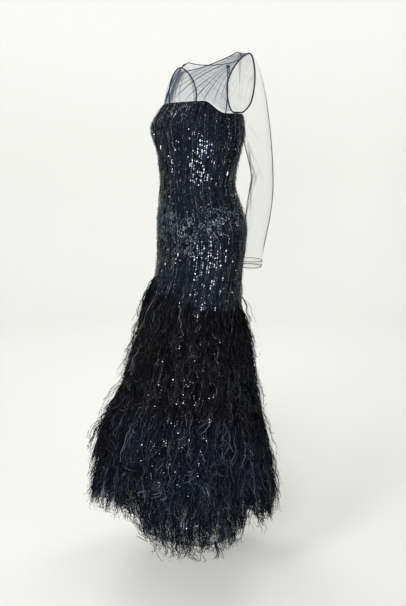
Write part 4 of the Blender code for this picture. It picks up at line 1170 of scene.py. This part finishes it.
def string_shades(draw, angle, level):
    """Return the tones of one string's sequins, painted lighter on two sides as a painted
    reflection and below the hips as a painted highlight.
    """
    side = sum(share * np.exp(-(angle_between(angle, at) / width) ** 2)
               for share, at, width in PAINTED_SHEEN_SIDES)
    string = draw.choice((-0.10, 0.0, 0.20)) + wander(draw, level, 0.020, 0.10)
    # Painted reflection: the strings are lighter and more varied on the two painted sides
    tone = 0.06 + 0.60 * draw.beta(1.3, 2.6, len(level)) + string * (0.8 + 1.2 * side)
    # Painted reflection lifts the two sides once more; painted highlight makes the sequins below
    # the hips lighter so their glints shine brighter
    tone += 0.08 * side + 0.05 * smooth_step((-0.49 - level) / 0.05)
    return tone


def string_turns(draw, level, tilt):
    """Return how far one string's sequins lap over the next, and how far they turn aside."""
    hang = 0.09 * smooth_step((-0.46 - level) / 0.06)
    hang += 0.13 * smooth_step((-0.58 - level) / 0.08)
    lap = tilt - hang + wander(draw, level, 0.014, 0.12) + draw.normal(0, 0.06, len(level))
    aside = 0.05 - 0.14 * smooth_step((level + 0.46) / 0.10)
    yaw = aside + draw.normal(0, 0.10) + wander(draw, level, 0.018, 0.24)
    yaw += draw.normal(0, 0.07, len(level))
    return lap, yaw


def sequin_places(draw, sizes, first, last):
    """Return angles, levels, tones, laps and yaws of the sequins between two angles."""
    found = []
    for k in range(sizes.strings):
        angle = 360.0 * k / sizes.strings - 180.0
        if not first <= angle < last:
            continue
        foot = STRING_FOOT + STRING_FOOT_WAVE * math.sin(math.radians(angle * 3))
        count = int((TOP_LEVEL - STRING_TOP_GAP - foot) / sizes.pitch)
        level = TOP_LEVEL - STRING_TOP_GAP - sizes.pitch * (np.arange(count) + draw.uniform(0, 1))
        level += draw.normal(0, 0.0003, count)
        drift = draw.normal(0, 0.10) + 0.25 * np.sin(level * draw.uniform(18, 40)
                                                     + draw.uniform(0, 6.28))
        keep = draw.random(count) > MISSED_SEQUINS
        for gap in draw.integers(0, count, 4):
            keep[gap:gap + draw.integers(1, 6)] = False
        tone = string_shades(draw, angle, level)
        lap, yaw = string_turns(draw, level, sizes.tilt)
        found.append(np.stack([angle + drift, level, tone, lap, yaw])[:, keep])
    return np.concatenate(found, axis=1)


def sequin_axes(draw, normals, across, down, lap, yaw):
    """Return each sequin's axes, lapped over the next and turned aside."""
    up = -down
    normal = unit(normals + up * np.tan(lap)[:, None] + across * np.tan(yaw)[:, None])
    side = unit(np.cross(up, normal))
    spin = draw.uniform(0, math.pi / 3, len(normals))
    rise = np.cross(normal, side)
    first = side * np.cos(spin)[:, None] + rise * np.sin(spin)[:, None]
    return np.stack([first, np.cross(normal, first), normal], axis=1)


def make_sequins():
    """Sew strings of sequins down the body."""
    sizes = bpy.context.scene.gown_sequins
    finish = sequin_finish()
    draw = np.random.default_rng(11)
    for name, first, last in (("sequins_right", -180, 0), ("sequins_left", 0, 180)):
        angle, level, tone, lap, yaw = sequin_places(draw, sizes, first, last)
        points, normals, across, down, _ = SURFACE.read(angle, level)
        axes = sequin_axes(draw, normals, across, down, lap, yaw)
        count = len(points)
        radius = sizes.radius * draw.uniform(0.85, 1.08, count)
        reach = np.stack([radius, radius, np.zeros(count)], axis=-1)
        centres = points + normals * (0.0012 + 0.0006 * draw.random(count))[:, None]
        laid, faces = lay_solids(centres, axes, reach, HEXAGON, HEXAGON_FACES)
        tone = np.repeat(np.clip(tone, 0, 1), len(HEXAGON))
        add_piece(name, make_mesh(name, laid, faces, tone), finish)
    make_loose_threads()


def make_loose_threads():
    """Lay the loose thread ends that roughen the beaded body."""
    draw = np.random.default_rng(5)
    count, steps = LOOSE_THREADS, 4
    angle, level = draw.uniform(0, 360, count), draw.uniform(-0.72, -0.13, count)
    t = np.linspace(0, 1, steps)
    length = draw.uniform(0.005, 0.014, count)[:, None]
    sway = draw.normal(0, 0.0022, (count, 1)) * np.sin(math.pi * 1.5 * t)
    off = STRAND_OFF + draw.uniform(0.0, 0.0032, (count, 1)) * np.sin(math.pi * t) ** 0.7
    reach = SURFACE.read(angle, level)[4][:, None]
    points, normals = SURFACE.read(angle[:, None] + sway / reach, level[:, None] - length * t)[:2]
    widths = np.tile(draw.uniform(0.0005, 0.0010, (count, 1)), (1, steps))
    laid, faces = make_ribbons(points + normals * off[..., None], normals, widths, draw)
    tone = np.repeat(draw.uniform(0.25, 0.95, count), 2 * (steps - 1) + 1)
    add_piece("loose_threads", make_mesh("loose_threads", laid, faces, tone), sequin_finish())


def on_surface(angle, level, u, v):
    """Return angles and levels at offsets in metres across and up from a place."""
    return angle + u / cloth_spot(angle, level)[4], level + v


def petals(inner, outer, count, turn, width):
    """Return the outlines of petals round a centre, as lists of offsets."""
    outlines = []
    s = np.linspace(0, 1, 60)
    for k in range(count):
        axis = math.radians(turn + 360 * k / count)
        along = inner + (outer - inner) * np.sin(math.pi * s)
        side = width * np.sin(2 * math.pi * s) * (0.55 + 0.45 * np.sin(math.pi * s))
        outlines.append(np.stack([along * math.cos(axis) - side * math.sin(axis),
                                  along * math.sin(axis) + side * math.cos(axis)], axis=-1))
    return outlines


def spiral(start, radius, turns, hand):
    """Return a scroll that winds in towards its eye."""
    s = np.linspace(0, 1, 90)
    angle = math.radians(start) + hand * 2 * math.pi * turns * s
    reach = radius * (1 - s) ** 0.8 + 0.0015
    return np.stack([reach * np.cos(angle), reach * np.sin(angle)], axis=-1)


def arc(first, last, bulge):
    """Return a bowed line between two offsets."""
    s = np.linspace(0, 1, 60)[:, None]
    first, last = np.array(first), np.array(last)
    across = np.array((-(last - first)[1], (last - first)[0]))
    return first + (last - first) * s + across * bulge * np.sin(math.pi * s)


def run_lengths(line):
    """Return the length run at each point of a line."""
    return np.concatenate([[0], np.cumsum(np.linalg.norm(np.diff(line, axis=0), axis=-1))])


def read_along(at, length, values):
    """Return a line's values at places along its length."""
    return np.stack([np.interp(at, length, column) for column in values.T], axis=-1)


def evenly(line, spacing):
    """Return points at even steps along a line."""
    length = run_lengths(line)
    return read_along(np.arange(0, length[-1], spacing), length, line)


def hip_scrolls():
    """Return the hip band's lines: angle, level, direction across and up, and shade."""
    draw = np.random.default_rng(29)
    lines = []

    def lay(angle, level, outline, spacing):
        places = evenly(outline, spacing)
        a, z = on_surface(angle, level, places[:, 0], places[:, 1])
        along = unit(np.gradient(places, axis=0))
        shade = np.full(len(places), draw.uniform(0.30, 0.95))
        lines.append(np.column_stack([a, z, along, shade]))

    for number, (angle, level, radius) in enumerate(ROSETTES):
        hand = 1 if number % 2 else -1
        for outline in petals(radius + 0.002, radius + 0.012, 6, 17 * number, 0.0044):
            lay(angle, level, outline, 0.0026)
        for turn in (35, 145, 250):
            start = math.radians(turn + 23 * number)
            reach = radius + 0.025
            a, z = on_surface(angle, level, reach * math.cos(start), reach * math.sin(start) * 0.8)
            lay(float(a), float(z), spiral(turn + 180 + 23 * number, 0.0080, 1.25, hand), 0.0022)
    for angle in range(-180, 180, 12):
        level = -0.440 + 0.030 * math.sin(math.radians(angle * 13.7))
        way = 0.011 * math.cos(math.radians(angle * 5.3))
        lay(angle, level, arc((-way, 0.011), (way, -0.012), 0.45), 0.0024)
    return np.concatenate(lines)


def make_hip_beads():
    """Sew the pale bead scrolls of the hip band and its dark rosettes."""
    draw = np.random.default_rng(23)
    places = hip_scrolls()
    places = places[draw.random(len(places)) > 0.12]
    places[:, :2] += draw.normal(0, 1, (len(places), 2)) * np.array((0.16, 0.0005))
    home = np.array(ROSETTES)[draw.integers(0, len(ROSETTES), LOOSE_BEADS)]
    turn = draw.uniform(0, 6.28, LOOSE_BEADS)
    reach = home[:, 2] + np.abs(draw.normal(0.010, 0.010, LOOSE_BEADS))
    loose = np.column_stack([home[:, 0] + reach * np.cos(turn) / HIP_DEGREE,
                             home[:, 1] + reach * np.sin(turn), np.cos(2 * turn), np.sin(2 * turn),
                             draw.uniform(0.2, 1.0, LOOSE_BEADS)])
    places = np.concatenate([places, loose])
    points, normals, across, down, _ = SURFACE.read(places[:, 0], places[:, 1])
    count = len(points)
    radius = draw.uniform(0.0006, 0.0009, count)
    centres = points + normals * (0.0024 + radius)[:, None]
    along = across * places[:, 2:3] - down * places[:, 3:4]
    axes = np.stack([along, np.cross(normals, along), normals], axis=1)
    reach = np.stack([radius * draw.uniform(1.3, 2.0, count), radius, radius], axis=-1)
    laid, faces = lay_solids(centres, axes, reach, SEED, SEED_FACES)
    # Painted shade: the beads on the front, just to the wearer's right of centre, are darker
    shade = 1.0 - 0.45 * np.exp(-(angle_between(places[:, 0], -10) / 24.0) ** 2)
    tone = np.clip(shade * (places[:, 4] + draw.normal(0, 0.12, count)), 0, 1)
    tone = np.repeat(tone, len(SEED))
    add_piece("hip_bead_scrolls", make_mesh("hip_bead_scrolls", laid, faces, tone), bead_finish())
    make_rosettes(draw)


def make_rosettes(draw):
    """Build each rosette from rings of dark beads on a small dome."""
    centres, axes, sizes, tones = [], [], [], []
    for angle, level, radius in ROSETTES:
        point, normal, across, down, _ = cloth_spot(angle, level)
        rings = [(0.0, 1, 0.30, 0.0040), (0.42, 6, 0.24, 0.0032), (0.80, 11, 0.21, 0.0018)]
        for share, count, size, height in rings:
            for k in range(count):
                turn = 2 * math.pi * (k + draw.uniform(-0.1, 0.1)) / count
                out = across * math.cos(turn) + down * math.sin(turn)
                sag = (share * radius) ** 2 / (2 * 0.14)
                centres.append(point + out * share * radius + normal * (height - sag))
                axes.append((across, down, normal))
                one = size * radius * draw.uniform(0.92, 1.08)
                sizes.append((one, one, one * 0.9))
                tones.append(draw.random())
    points, faces = lay_solids(np.array(centres), np.array(axes), np.array(sizes), BALL, BALL_FACES)
    mesh = make_mesh("bead_rosettes", points, faces, np.repeat(tones, len(BALL)))
    nodes = [f"rosette_{k:02d}" for k in range(1, len(ROSETTES) + 1)]
    add_piece("bead_rosettes", mesh, rosette_finish(), nodes)


def tape_level(tier, angle):
    """Return the level of a feather tape at angles."""
    row, slant, _ = TIERS[tier]
    place = row - slant * np.cos(np.radians(angle - SLANT_ANGLE))
    return np.interp(place, np.arange(len(ROW_LEVELS)), ROW_LEVELS)


class Barbs:
    """One kind of barb: how many, how long, how far it stands off and how it curls."""

    def __init__(self, count, steps, lengths, lift, wave, hook, curl, each, drop, tail):
        body, tip = steps
        self.count, self.curl, self.hook = count, curl, hook
        self.share = np.concatenate([np.linspace(0, 1 - curl, body + 1),
                                     np.linspace(1 - curl, 1, tip + 1)[1:]])
        self.lengths, self.lift, self.wave = lengths, lift, wave
        self.each, self.drop, self.tail = each, drop, tail

    def curled(self, reach, turn):
        """Return how far barbs fall and go aside when their last part curls."""
        t, straight = self.share[None, :], 1 - self.curl
        arc_length = reach[:, None] * np.maximum(t - straight, 0.0)
        curve = turn[:, None] / (self.curl * reach[:, None])
        fall = reach[:, None] * np.minimum(t, straight) + np.sin(curve * arc_length) / curve
        return fall, (1 - np.cos(curve * arc_length)) / curve


def barb_paths(draw, tier, kind):
    """Return the points of barbs that fall from a tape, their outward directions and locks."""
    length, count = TIERS[tier][2], kind.count
    locks = max(1, count // kind.each)
    owner = draw.integers(0, locks, count)
    angle = draw.uniform(0, 360, locks)
    up, down = kind.drop
    level = tape_level(tier, angle) + draw.triangular(-down, -0.25 * down, up, locks)
    swing = draw.normal(0, 0.014, locks)[owner] + draw.normal(0, 0.008, count)
    stand = draw.uniform(0.15, 1.0, locks)[owner] + draw.normal(0, 0.20, count)
    tuft = np.exp(-(angle_between(angle, TUFT_ANGLE) / 22.0) ** 2
                  - ((level - TUFT_LEVEL) / 0.08) ** 2)[owner]
    stand = kind.lift * (stand.clip(0.03, 1.9) + 0.6 * tuft) * (1 + 0.6 * tuft)
    angle = angle[owner] + draw.normal(0, 0.9, count)
    level = level[owner] - draw.uniform(0, 0.010, count)
    reach = length * draw.uniform(*kind.lengths, locks)[owner] * draw.uniform(0.85, 1.08, count)
    thin = FRINGE_GAP * np.exp(-((angle - FRINGE_GAP_ANGLE) / 15.0) ** 2)
    tail = HEM_LEVEL + thin - draw.uniform(*kind.tail, locks)[owner] - draw.uniform(0, 0.012, count)
    reach = np.clip(reach, 0.018, np.maximum((level - tail) / BARB_FALL, 0.020))
    t = kind.share[None, :]
    run = reach[:, None] * t

    def ripple(size, low, high):
        pitch = draw.uniform(low, high, locks)[owner][:, None]
        phase = (draw.uniform(0, 6.28, locks)[owner] + draw.normal(0, 0.5, count))[:, None]
        rise = size * (draw.uniform(0.3, 1.0, locks)[owner] + draw.normal(0, 0.2, count))[:, None]
        return rise * np.sin(2 * math.pi * run / pitch + phase) * np.sqrt(t)

    hand = np.where(draw.random(count) < 0.5, -1.0, 1.0)
    turn = kind.hook * draw.uniform(0.1, 1.0, count) * hand
    fall, aside = kind.curled(reach, turn)
    roll = np.abs(draw.normal(0, 0.45, count))[:, None]
    lateral = swing[:, None] * t ** 1.4 + ripple(kind.wave, 0.028, 0.062) + aside * np.cos(roll)
    off = STRAND_OFF + stand[:, None] * t ** 0.6 * (1.25 - 0.45 * t)
    off = off + np.abs(aside) * np.sin(roll) * 0.7
    off = np.maximum(off + ripple(0.6 * kind.wave, 0.032, 0.070), BARB_NEAREST)
    a = angle[:, None] + lateral / SURFACE.read(angle, level)[4][:, None]
    z = level[:, None] - fall * BARB_FALL
    points, normals = SURFACE.read(a, z)[:2]
    return points + normals * off[..., None], normals, owner


def make_ribbons(paths, normals, widths, draw):
    """Return the points and faces of flat barbs that taper to a tip."""
    count, steps = paths.shape[:2]
    tangent = unit(np.gradient(paths, axis=1))
    flat = unit(np.cross(tangent, normals))
    lean = draw.uniform(-1.2, 1.2, count)[:, None, None]
    side = unit(flat * np.cos(lean) + np.cross(tangent, flat) * np.sin(lean))
    half = 0.5 * widths[..., None]
    left, right = paths - side * half, paths + side * half
    body = np.stack([left[:, :-1], right[:, :-1]], axis=2).reshape(count, -1, 3)
    points = np.concatenate([body, paths[:, -1:]], axis=1)
    each = points.shape[1]
    offsets = (np.arange(count) * each)[:, None, None]
    k = np.arange(steps - 2)
    quads = np.stack([2 * k, 2 * k + 1, 2 * k + 3, 2 * k + 2], axis=-1)[None] + offsets
    last = np.array([[2 * (steps - 2), 2 * (steps - 2) + 1, each - 1]])[None] + offsets
    return points.reshape(-1, 3), [quads.reshape(-1, 4), last.reshape(-1, 3)]


def tier_kinds(sizes, tier):
    """Return the long barbs, short curls and hooked wisps of one tier."""
    lowest = tier == len(TIERS) - 1
    up = 0.050 if tier == 0 else 0.055
    low = LOWEST_DROP if lowest else 0.0
    wisps = int(sizes.wisps * (LOWEST_WISPS if lowest else 1))
    return (
        Barbs(sizes.barbs, (7, 3), (0.50, 1.00), sizes.lift, 0.0056, 2.2, 0.24, 11,
              (up, 0.055), (-0.030, 0.034 + low)),
        Barbs(sizes.curls, (5, 3), (0.26, 0.60), 0.9 * sizes.lift, 0.0056, 2.8, 0.30, 7,
              (up, 0.115), (-0.050, 0.024 + low)),
        Barbs(wisps, (9, 4), (0.50, 1.00), 2.3 * sizes.lift, 0.0076, 3.8, 0.16, 4,
              (up + 0.020, 0.070), (0.005, 0.062)),
    )


def barb_tones(draw, kind, owner, pale_share):
    """Return the tones of barbs: each lock has its own, and a share of the barbs is pale."""
    lock = draw.uniform(0.55, 1.25, owner.max() + 1)[owner]
    pale = draw.random(kind.count) < pale_share
    shade = lock * np.where(pale, draw.uniform(0.5, 0.88, kind.count),
                            0.5 * draw.random(kind.count))
    along = np.append(np.repeat(kind.share[:-1], 2), 1.0)
    return np.clip(shade[:, None] * (0.85 + 0.20 * along[None, :]), 0, 1).ravel()


def make_feathers():
    """Sew the tiers of ostrich fringe round the skirt."""
    sizes = bpy.context.scene.gown_feathers
    finish = feather_finish()
    for tier in range(len(TIERS)):
        draw = np.random.default_rng(40 + tier)
        all_points, all_faces, all_tones, first = [], [], [], 0
        for kind, pale_share in zip(tier_kinds(sizes, tier), PALE_SHARES):
            paths, normals, owner = barb_paths(draw, tier, kind)
            root = sizes.width * draw.uniform(0.55, 1.25, kind.count)
            widths = root[:, None] * (1.0 - 0.35 * kind.share[None, :])
            points, faces = make_ribbons(paths, normals, widths, draw)
            all_tones.append(barb_tones(draw, kind, owner, pale_share))
            all_points.append(points)
            all_faces += [block + first for block in faces]
            first += len(points)
        name = f"ostrich_tier_{tier + 1}"
        mesh = make_mesh(name, np.concatenate(all_points), all_faces, np.concatenate(all_tones))
        add_piece(name, mesh, finish, [f"feather_tier_{tier + 1}"])
    make_skirt_sequins()


def make_skirt_sequins():
    """Hang short strings of sequins among the feathers."""
    draw = np.random.default_rng(77)
    angle = draw.uniform(0, 360, SKIRT_STRINGS)
    level = draw.uniform(*SKIRT_LEVELS, SKIRT_STRINGS)
    count = draw.integers(1, 4, SKIRT_STRINGS)
    off = draw.uniform(*SKIRT_OFFS, SKIRT_STRINGS)
    lean = draw.normal(0, 0.15, SKIRT_STRINGS)
    owner = np.repeat(np.arange(SKIRT_STRINGS), count)
    step = np.concatenate([np.arange(n) for n in count])
    reach = SURFACE.read(angle, level)[4]
    a = angle[owner] + step * SKIRT_PITCH * lean[owner] / reach[owner]
    z = level[owner] - step * SKIRT_PITCH
    points, normals, across, down, _ = SURFACE.read(a, z)
    total = len(points)
    axes = sequin_axes(draw, normals, across, down, draw.normal(0.14, 0.14, total),
                       draw.normal(0, 0.20, total))
    radius = SKIRT_RADIUS * draw.uniform(0.85, 1.1, total)
    sizes = np.stack([radius, radius, np.zeros(total)], axis=-1)
    laid, faces = lay_solids(points + normals * off[owner][:, None], axes, sizes, HEXAGON,
                             HEXAGON_FACES)
    tone = np.repeat(draw.beta(2, 3, total), len(HEXAGON))
    add_piece("skirt_sequins", make_mesh("skirt_sequins", laid, faces, tone), skirt_sequin_finish())


TAPE_COLUMNS = np.array((-0.0020, -0.0010, 0.0010, 0.0020))
TAPE_SINK, TAPE_WALL = 0.0008, 0.0006
TOOTH_PITCH, TOOTH_ASIDE, TOOTH_SINK = 0.0013, 0.00045, 0.0002
TOOTH_SIZE = (0.00105, 0.00045, 0.0005)
METAL_NODES = ("zip_slider", "zip_pull", "stud_left_1", "stud_left_2", "stud_right_1",
               "stud_right_2")


def zip_path():
    """Return the zip's line down the centre back."""
    head = np.array((0.0, NECK_BACK_DEPTH + LAYER_GAP, ZIP_HEAD_Z))
    foot = cloth_points(np.array(180.0), np.array(TOP_LEVEL))
    share = np.linspace(0, 1, 24)
    upper = head + (foot - head) * share[:, None]
    upper[:, 1] += ZIP_BOW * np.sin(math.pi * share)
    levels = np.linspace(TOP_LEVEL, ZIP_FOOT, 70)[1:]
    lower = cloth_points(np.full(69, 180.0), levels)
    path = np.concatenate([upper, lower])
    path[:, 0] = 0.0
    return path


def make_zip():
    """Make the zip's tape and teeth, and finish its slider, pull and the cuff studs."""
    metal = metal_finish()
    path = zip_path()
    tangent = unit(np.gradient(path, axis=0))
    outward = unit(np.cross(tangent, np.array((-1.0, 0, 0))))
    rows = np.stack([TAPE_COLUMNS, np.zeros(4), np.zeros(4)], axis=-1)
    grid = path[:, None, :] - outward[:, None, :] * TAPE_SINK + rows[None]
    inner = grid - outward[:, None, :] * TAPE_WALL
    points, faces = shell(grid, inner, False)
    add_piece("zip_tape", make_mesh("zip_tape", points, faces), binding_finish(),
              ["zip_chain"])
    length = run_lengths(path)
    at = np.arange(0.004, length[-1] - 0.002, TOOTH_PITCH)
    centres = read_along(at, length, path)
    along = unit(read_along(at, length, tangent))
    out = unit(np.cross(along, np.array((-1.0, 0, 0))))
    centres[:, 0] = np.where(np.arange(len(at)) % 2 == 0, TOOTH_ASIDE, -TOOTH_ASIDE)
    centres -= out * TOOTH_SINK
    axes = np.stack([np.tile((1.0, 0, 0), (len(at), 1)), along, out], axis=1)
    sizes = np.tile(TOOTH_SIZE, (len(at), 1))
    points, faces = lay_solids(centres, axes, sizes, BLOCK, BLOCK_FACES)
    add_piece("zip_teeth", make_mesh("zip_teeth", points, faces), metal)
    for name in METAL_NODES:
        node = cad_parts[name]
        node.data.materials.clear()
        node.data.materials.append(metal)


def add_area_light(name, place, target, size, power, colour):
    """Add a square softbox that faces a target."""
    light = bpy.data.lights.new(name, "AREA")
    light.size, light.energy, light.color = size, power, colour
    lamp = bpy.data.objects.new(name, light)
    lamp.location = place
    facing = Vector(target) - Vector(place)
    lamp.rotation_euler = facing.to_track_quat("-Z", "Y").to_euler()
    bpy.context.scene.collection.objects.link(lamp)


def round_camera(azimuth, distance, height):
    """Return a place at an azimuth seen from the gown, at a distance and a height."""
    turn = math.radians(azimuth)
    return (distance * math.sin(turn), -distance * math.cos(turn), height)


def make_sweep(light):
    """Make the floor with its round sweep, open towards the camera."""
    shader = Shader("studio_paper")
    shader.set(Base_Color=(*light.floor, 1.0), Roughness=0.9, Specular_IOR_Level=0.1)
    profile = [(0.001, 0.0), (1.2, 0.0), (2.4, 0.0), (SWEEP_REACH, 0.0)]
    for k in range(1, 13):
        turn = math.radians(7.5 * k)
        profile.append((SWEEP_REACH + SWEEP_TURN * math.sin(turn),
                        SWEEP_TURN * (1 - math.cos(turn))))
    profile += [(SWEEP_REACH + SWEEP_TURN, 2.4), (SWEEP_REACH + SWEEP_TURN, 4.2)]
    turn = np.radians(360 * np.arange(SWEEP_SIDES) / SWEEP_SIDES)
    points = np.concatenate([
        np.stack([r * np.cos(turn), r * np.sin(turn), np.full(SWEEP_SIDES, FLOOR_Z + z)], axis=-1)
        for r, z in profile])
    faces = grid_faces(len(profile), SWEEP_SIDES, True)
    middle = points[faces].mean(axis=1)
    facing = np.degrees(np.arctan2(middle[:, 0], -middle[:, 1])) - CAMERA_AZIMUTH
    outside = np.hypot(middle[:, 0], middle[:, 1]) > SWEEP_REACH
    kept = faces[~(outside & (np.cos(np.radians(facing)) > 0.1))]
    mesh = make_mesh("studio_sweep", points, [kept, np.arange(SWEEP_SIDES)[None, :]])
    mesh.materials.append(shader.material)
    sweep = bpy.data.objects.new("studio_sweep", mesh)
    bpy.context.scene.collection.objects.link(sweep)


def make_light(light):
    """Light the gown from beside the camera and from above, and the sweep behind it."""
    world = bpy.data.worlds.new("studio_air")
    world.use_nodes = True
    sky = world.node_tree.nodes["Background"].inputs
    sky["Color"].default_value, sky["Strength"].default_value = (1.0, 1.0, 0.99, 1.0), light.sky
    bpy.context.scene.world = world
    for name, azimuth, share in (("key_left", 26, 0.55), ("key_right", 50, 0.45)):
        add_area_light(name, round_camera(azimuth, 2.0, -0.20), (0, 0, 0.30), 0.44,
                       share * light.key, (1.0, 0.99, 0.97))
    add_area_light("overhead_left", round_camera(5, 2.2, 1.7), (0, 0, -0.7), 1.6, light.fill,
                   (1.0, 0.97, 0.93))
    add_area_light("overhead_right", round_camera(115, 2.4, 1.5), (0, 0, -0.7), 1.6,
                   0.25 * light.fill, (1.0, 1.0, 1.0))
    for name, azimuth, power in (("backdrop_left", 284, 1.12), ("backdrop_right", 190, 1.0)):
        add_area_light(name, round_camera(azimuth, 2.0, 2.0), round_camera(237, 3.9, -1.15), 1.8,
                       power * light.backdrop, (1.0, 1.0, 0.99))


def make_camera():
    """Set the camera where the picture was taken from."""
    data = bpy.data.cameras.new("portrait_camera")
    data.lens, data.sensor_width, data.shift_x = CAMERA_LENS, 36.0, CAMERA_SHIFT
    camera = bpy.data.objects.new("portrait_camera", data)
    camera.location = round_camera(CAMERA_AZIMUTH, CAMERA_DISTANCE, CAMERA_HEIGHT)
    camera.rotation_euler = (math.radians(90 - CAMERA_PITCH), 0.0, math.radians(CAMERA_AZIMUTH))
    bpy.context.scene.collection.objects.link(camera)
    bpy.context.scene.camera = camera
    bpy.context.scene.view_settings.view_transform = "Standard"


def make_stage():
    """Make the floor, the lights and the camera."""
    light = bpy.context.scene.gown_stage
    make_sweep(light)
    make_light(light)
    make_camera()


class GOWN_OT_stage(bpy.types.Operator):
    """Make the studio's floor, lights and camera"""

    bl_idname = "gown.make_stage"
    bl_label = "Stage"

    def execute(self, context):
        """Run the operator."""
        make_stage()
        return {"FINISHED"}


class GOWN_OT_panels(bpy.types.Operator):
    """Cut the long body panels"""

    bl_idname = "gown.make_panels"
    bl_label = "Body panels"

    def execute(self, context):
        """Run the operator."""
        make_panels()
        return {"FINISHED"}


class GOWN_OT_yoke(bpy.types.Operator):
    """Cut the sheer yoke and gather it into the shoulders"""

    bl_idname = "gown.make_yoke"
    bl_label = "Sheer yoke"

    def execute(self, context):
        """Run the operator."""
        make_yoke()
        return {"FINISHED"}


class GOWN_OT_bindings(bpy.types.Operator):
    """Roll the neck edge and bind the armholes"""

    bl_idname = "gown.make_bindings"
    bl_label = "Bindings"

    def execute(self, context):
        """Run the operator."""
        make_bindings()
        return {"FINISHED"}


class GOWN_OT_sleeves(bpy.types.Operator):
    """Make the net sleeves and cuffs"""

    bl_idname = "gown.make_sleeves"
    bl_label = "Sleeves"

    def execute(self, context):
        """Run the operator."""
        make_sleeves()
        return {"FINISHED"}


class GOWN_OT_sequins(bpy.types.Operator):
    """Sew the strings of sequins"""

    bl_idname = "gown.make_sequins"
    bl_label = "Sequins"

    def execute(self, context):
        """Run the operator."""
        make_sequins()
        return {"FINISHED"}


class GOWN_OT_hip_beads(bpy.types.Operator):
    """Sew the bead scrolls and rosettes of the hip band"""

    bl_idname = "gown.make_hip_beads"
    bl_label = "Hip beading"

    def execute(self, context):
        """Run the operator."""
        make_hip_beads()
        return {"FINISHED"}


class GOWN_OT_feathers(bpy.types.Operator):
    """Sew the tiers of ostrich fringe"""

    bl_idname = "gown.make_feathers"
    bl_label = "Feathers"

    def execute(self, context):
        """Run the operator."""
        make_feathers()
        return {"FINISHED"}


class GOWN_OT_zip(bpy.types.Operator):
    """Make the back zip and finish the metal pieces"""

    bl_idname = "gown.make_zip"
    bl_label = "Zip and studs"

    def execute(self, context):
        """Run the operator."""
        make_zip()
        return {"FINISHED"}


class GOWN_PT_panel(bpy.types.Panel):
    """Lists the gown's pieces and their sizes"""

    bl_idname = "GOWN_PT_panel"
    bl_label = "Evening gown"
    bl_space_type = "VIEW_3D"
    bl_region_type = "UI"
    bl_category = "Gown"

    def draw(self, context):
        """Draw the panel."""
        for group in (context.scene.gown_cloth, context.scene.gown_sequins,
                      context.scene.gown_feathers, context.scene.gown_stage):
            box = self.layout.box()
            for name in group.__annotations__:
                box.prop(group, name)
        for operator in OPERATORS:
            self.layout.operator(operator.bl_idname)


GROUPS = {
    "gown_cloth": ClothColours,
    "gown_sequins": SequinSizes,
    "gown_feathers": FeatherSizes,
    "gown_stage": StageLight,
}
OPERATORS = (GOWN_OT_stage, GOWN_OT_panels, GOWN_OT_yoke, GOWN_OT_bindings, GOWN_OT_sleeves,
             GOWN_OT_sequins, GOWN_OT_hip_beads, GOWN_OT_feathers, GOWN_OT_zip)


def register():
    """Register the classes and hang the settings on the scene."""
    for group in GROUPS.values():
        bpy.utils.register_class(group)
    for name, group in GROUPS.items():
        setattr(bpy.types.Scene, name, bpy.props.PointerProperty(type=group))
    for operator in OPERATORS:
        bpy.utils.register_class(operator)
    bpy.utils.register_class(GOWN_PT_panel)


def unregister():
    """Take everything off again."""
    bpy.utils.unregister_class(GOWN_PT_panel)
    for operator in reversed(OPERATORS):
        bpy.utils.unregister_class(operator)
    for name in GROUPS:
        delattr(bpy.types.Scene, name)
    for group in reversed(list(GROUPS.values())):
        bpy.utils.unregister_class(group)


def main():
    """Dress the gown piece by piece."""
    register()
    bpy.ops.gown.make_stage()
    bpy.ops.gown.make_panels()
    bpy.ops.gown.make_yoke()
    bpy.ops.gown.make_bindings()
    bpy.ops.gown.make_sleeves()
    bpy.ops.gown.make_sequins()
    bpy.ops.gown.make_hip_beads()
    bpy.ops.gown.make_feathers()
    bpy.ops.gown.make_zip()


if __name__ == "__main__":
    main()
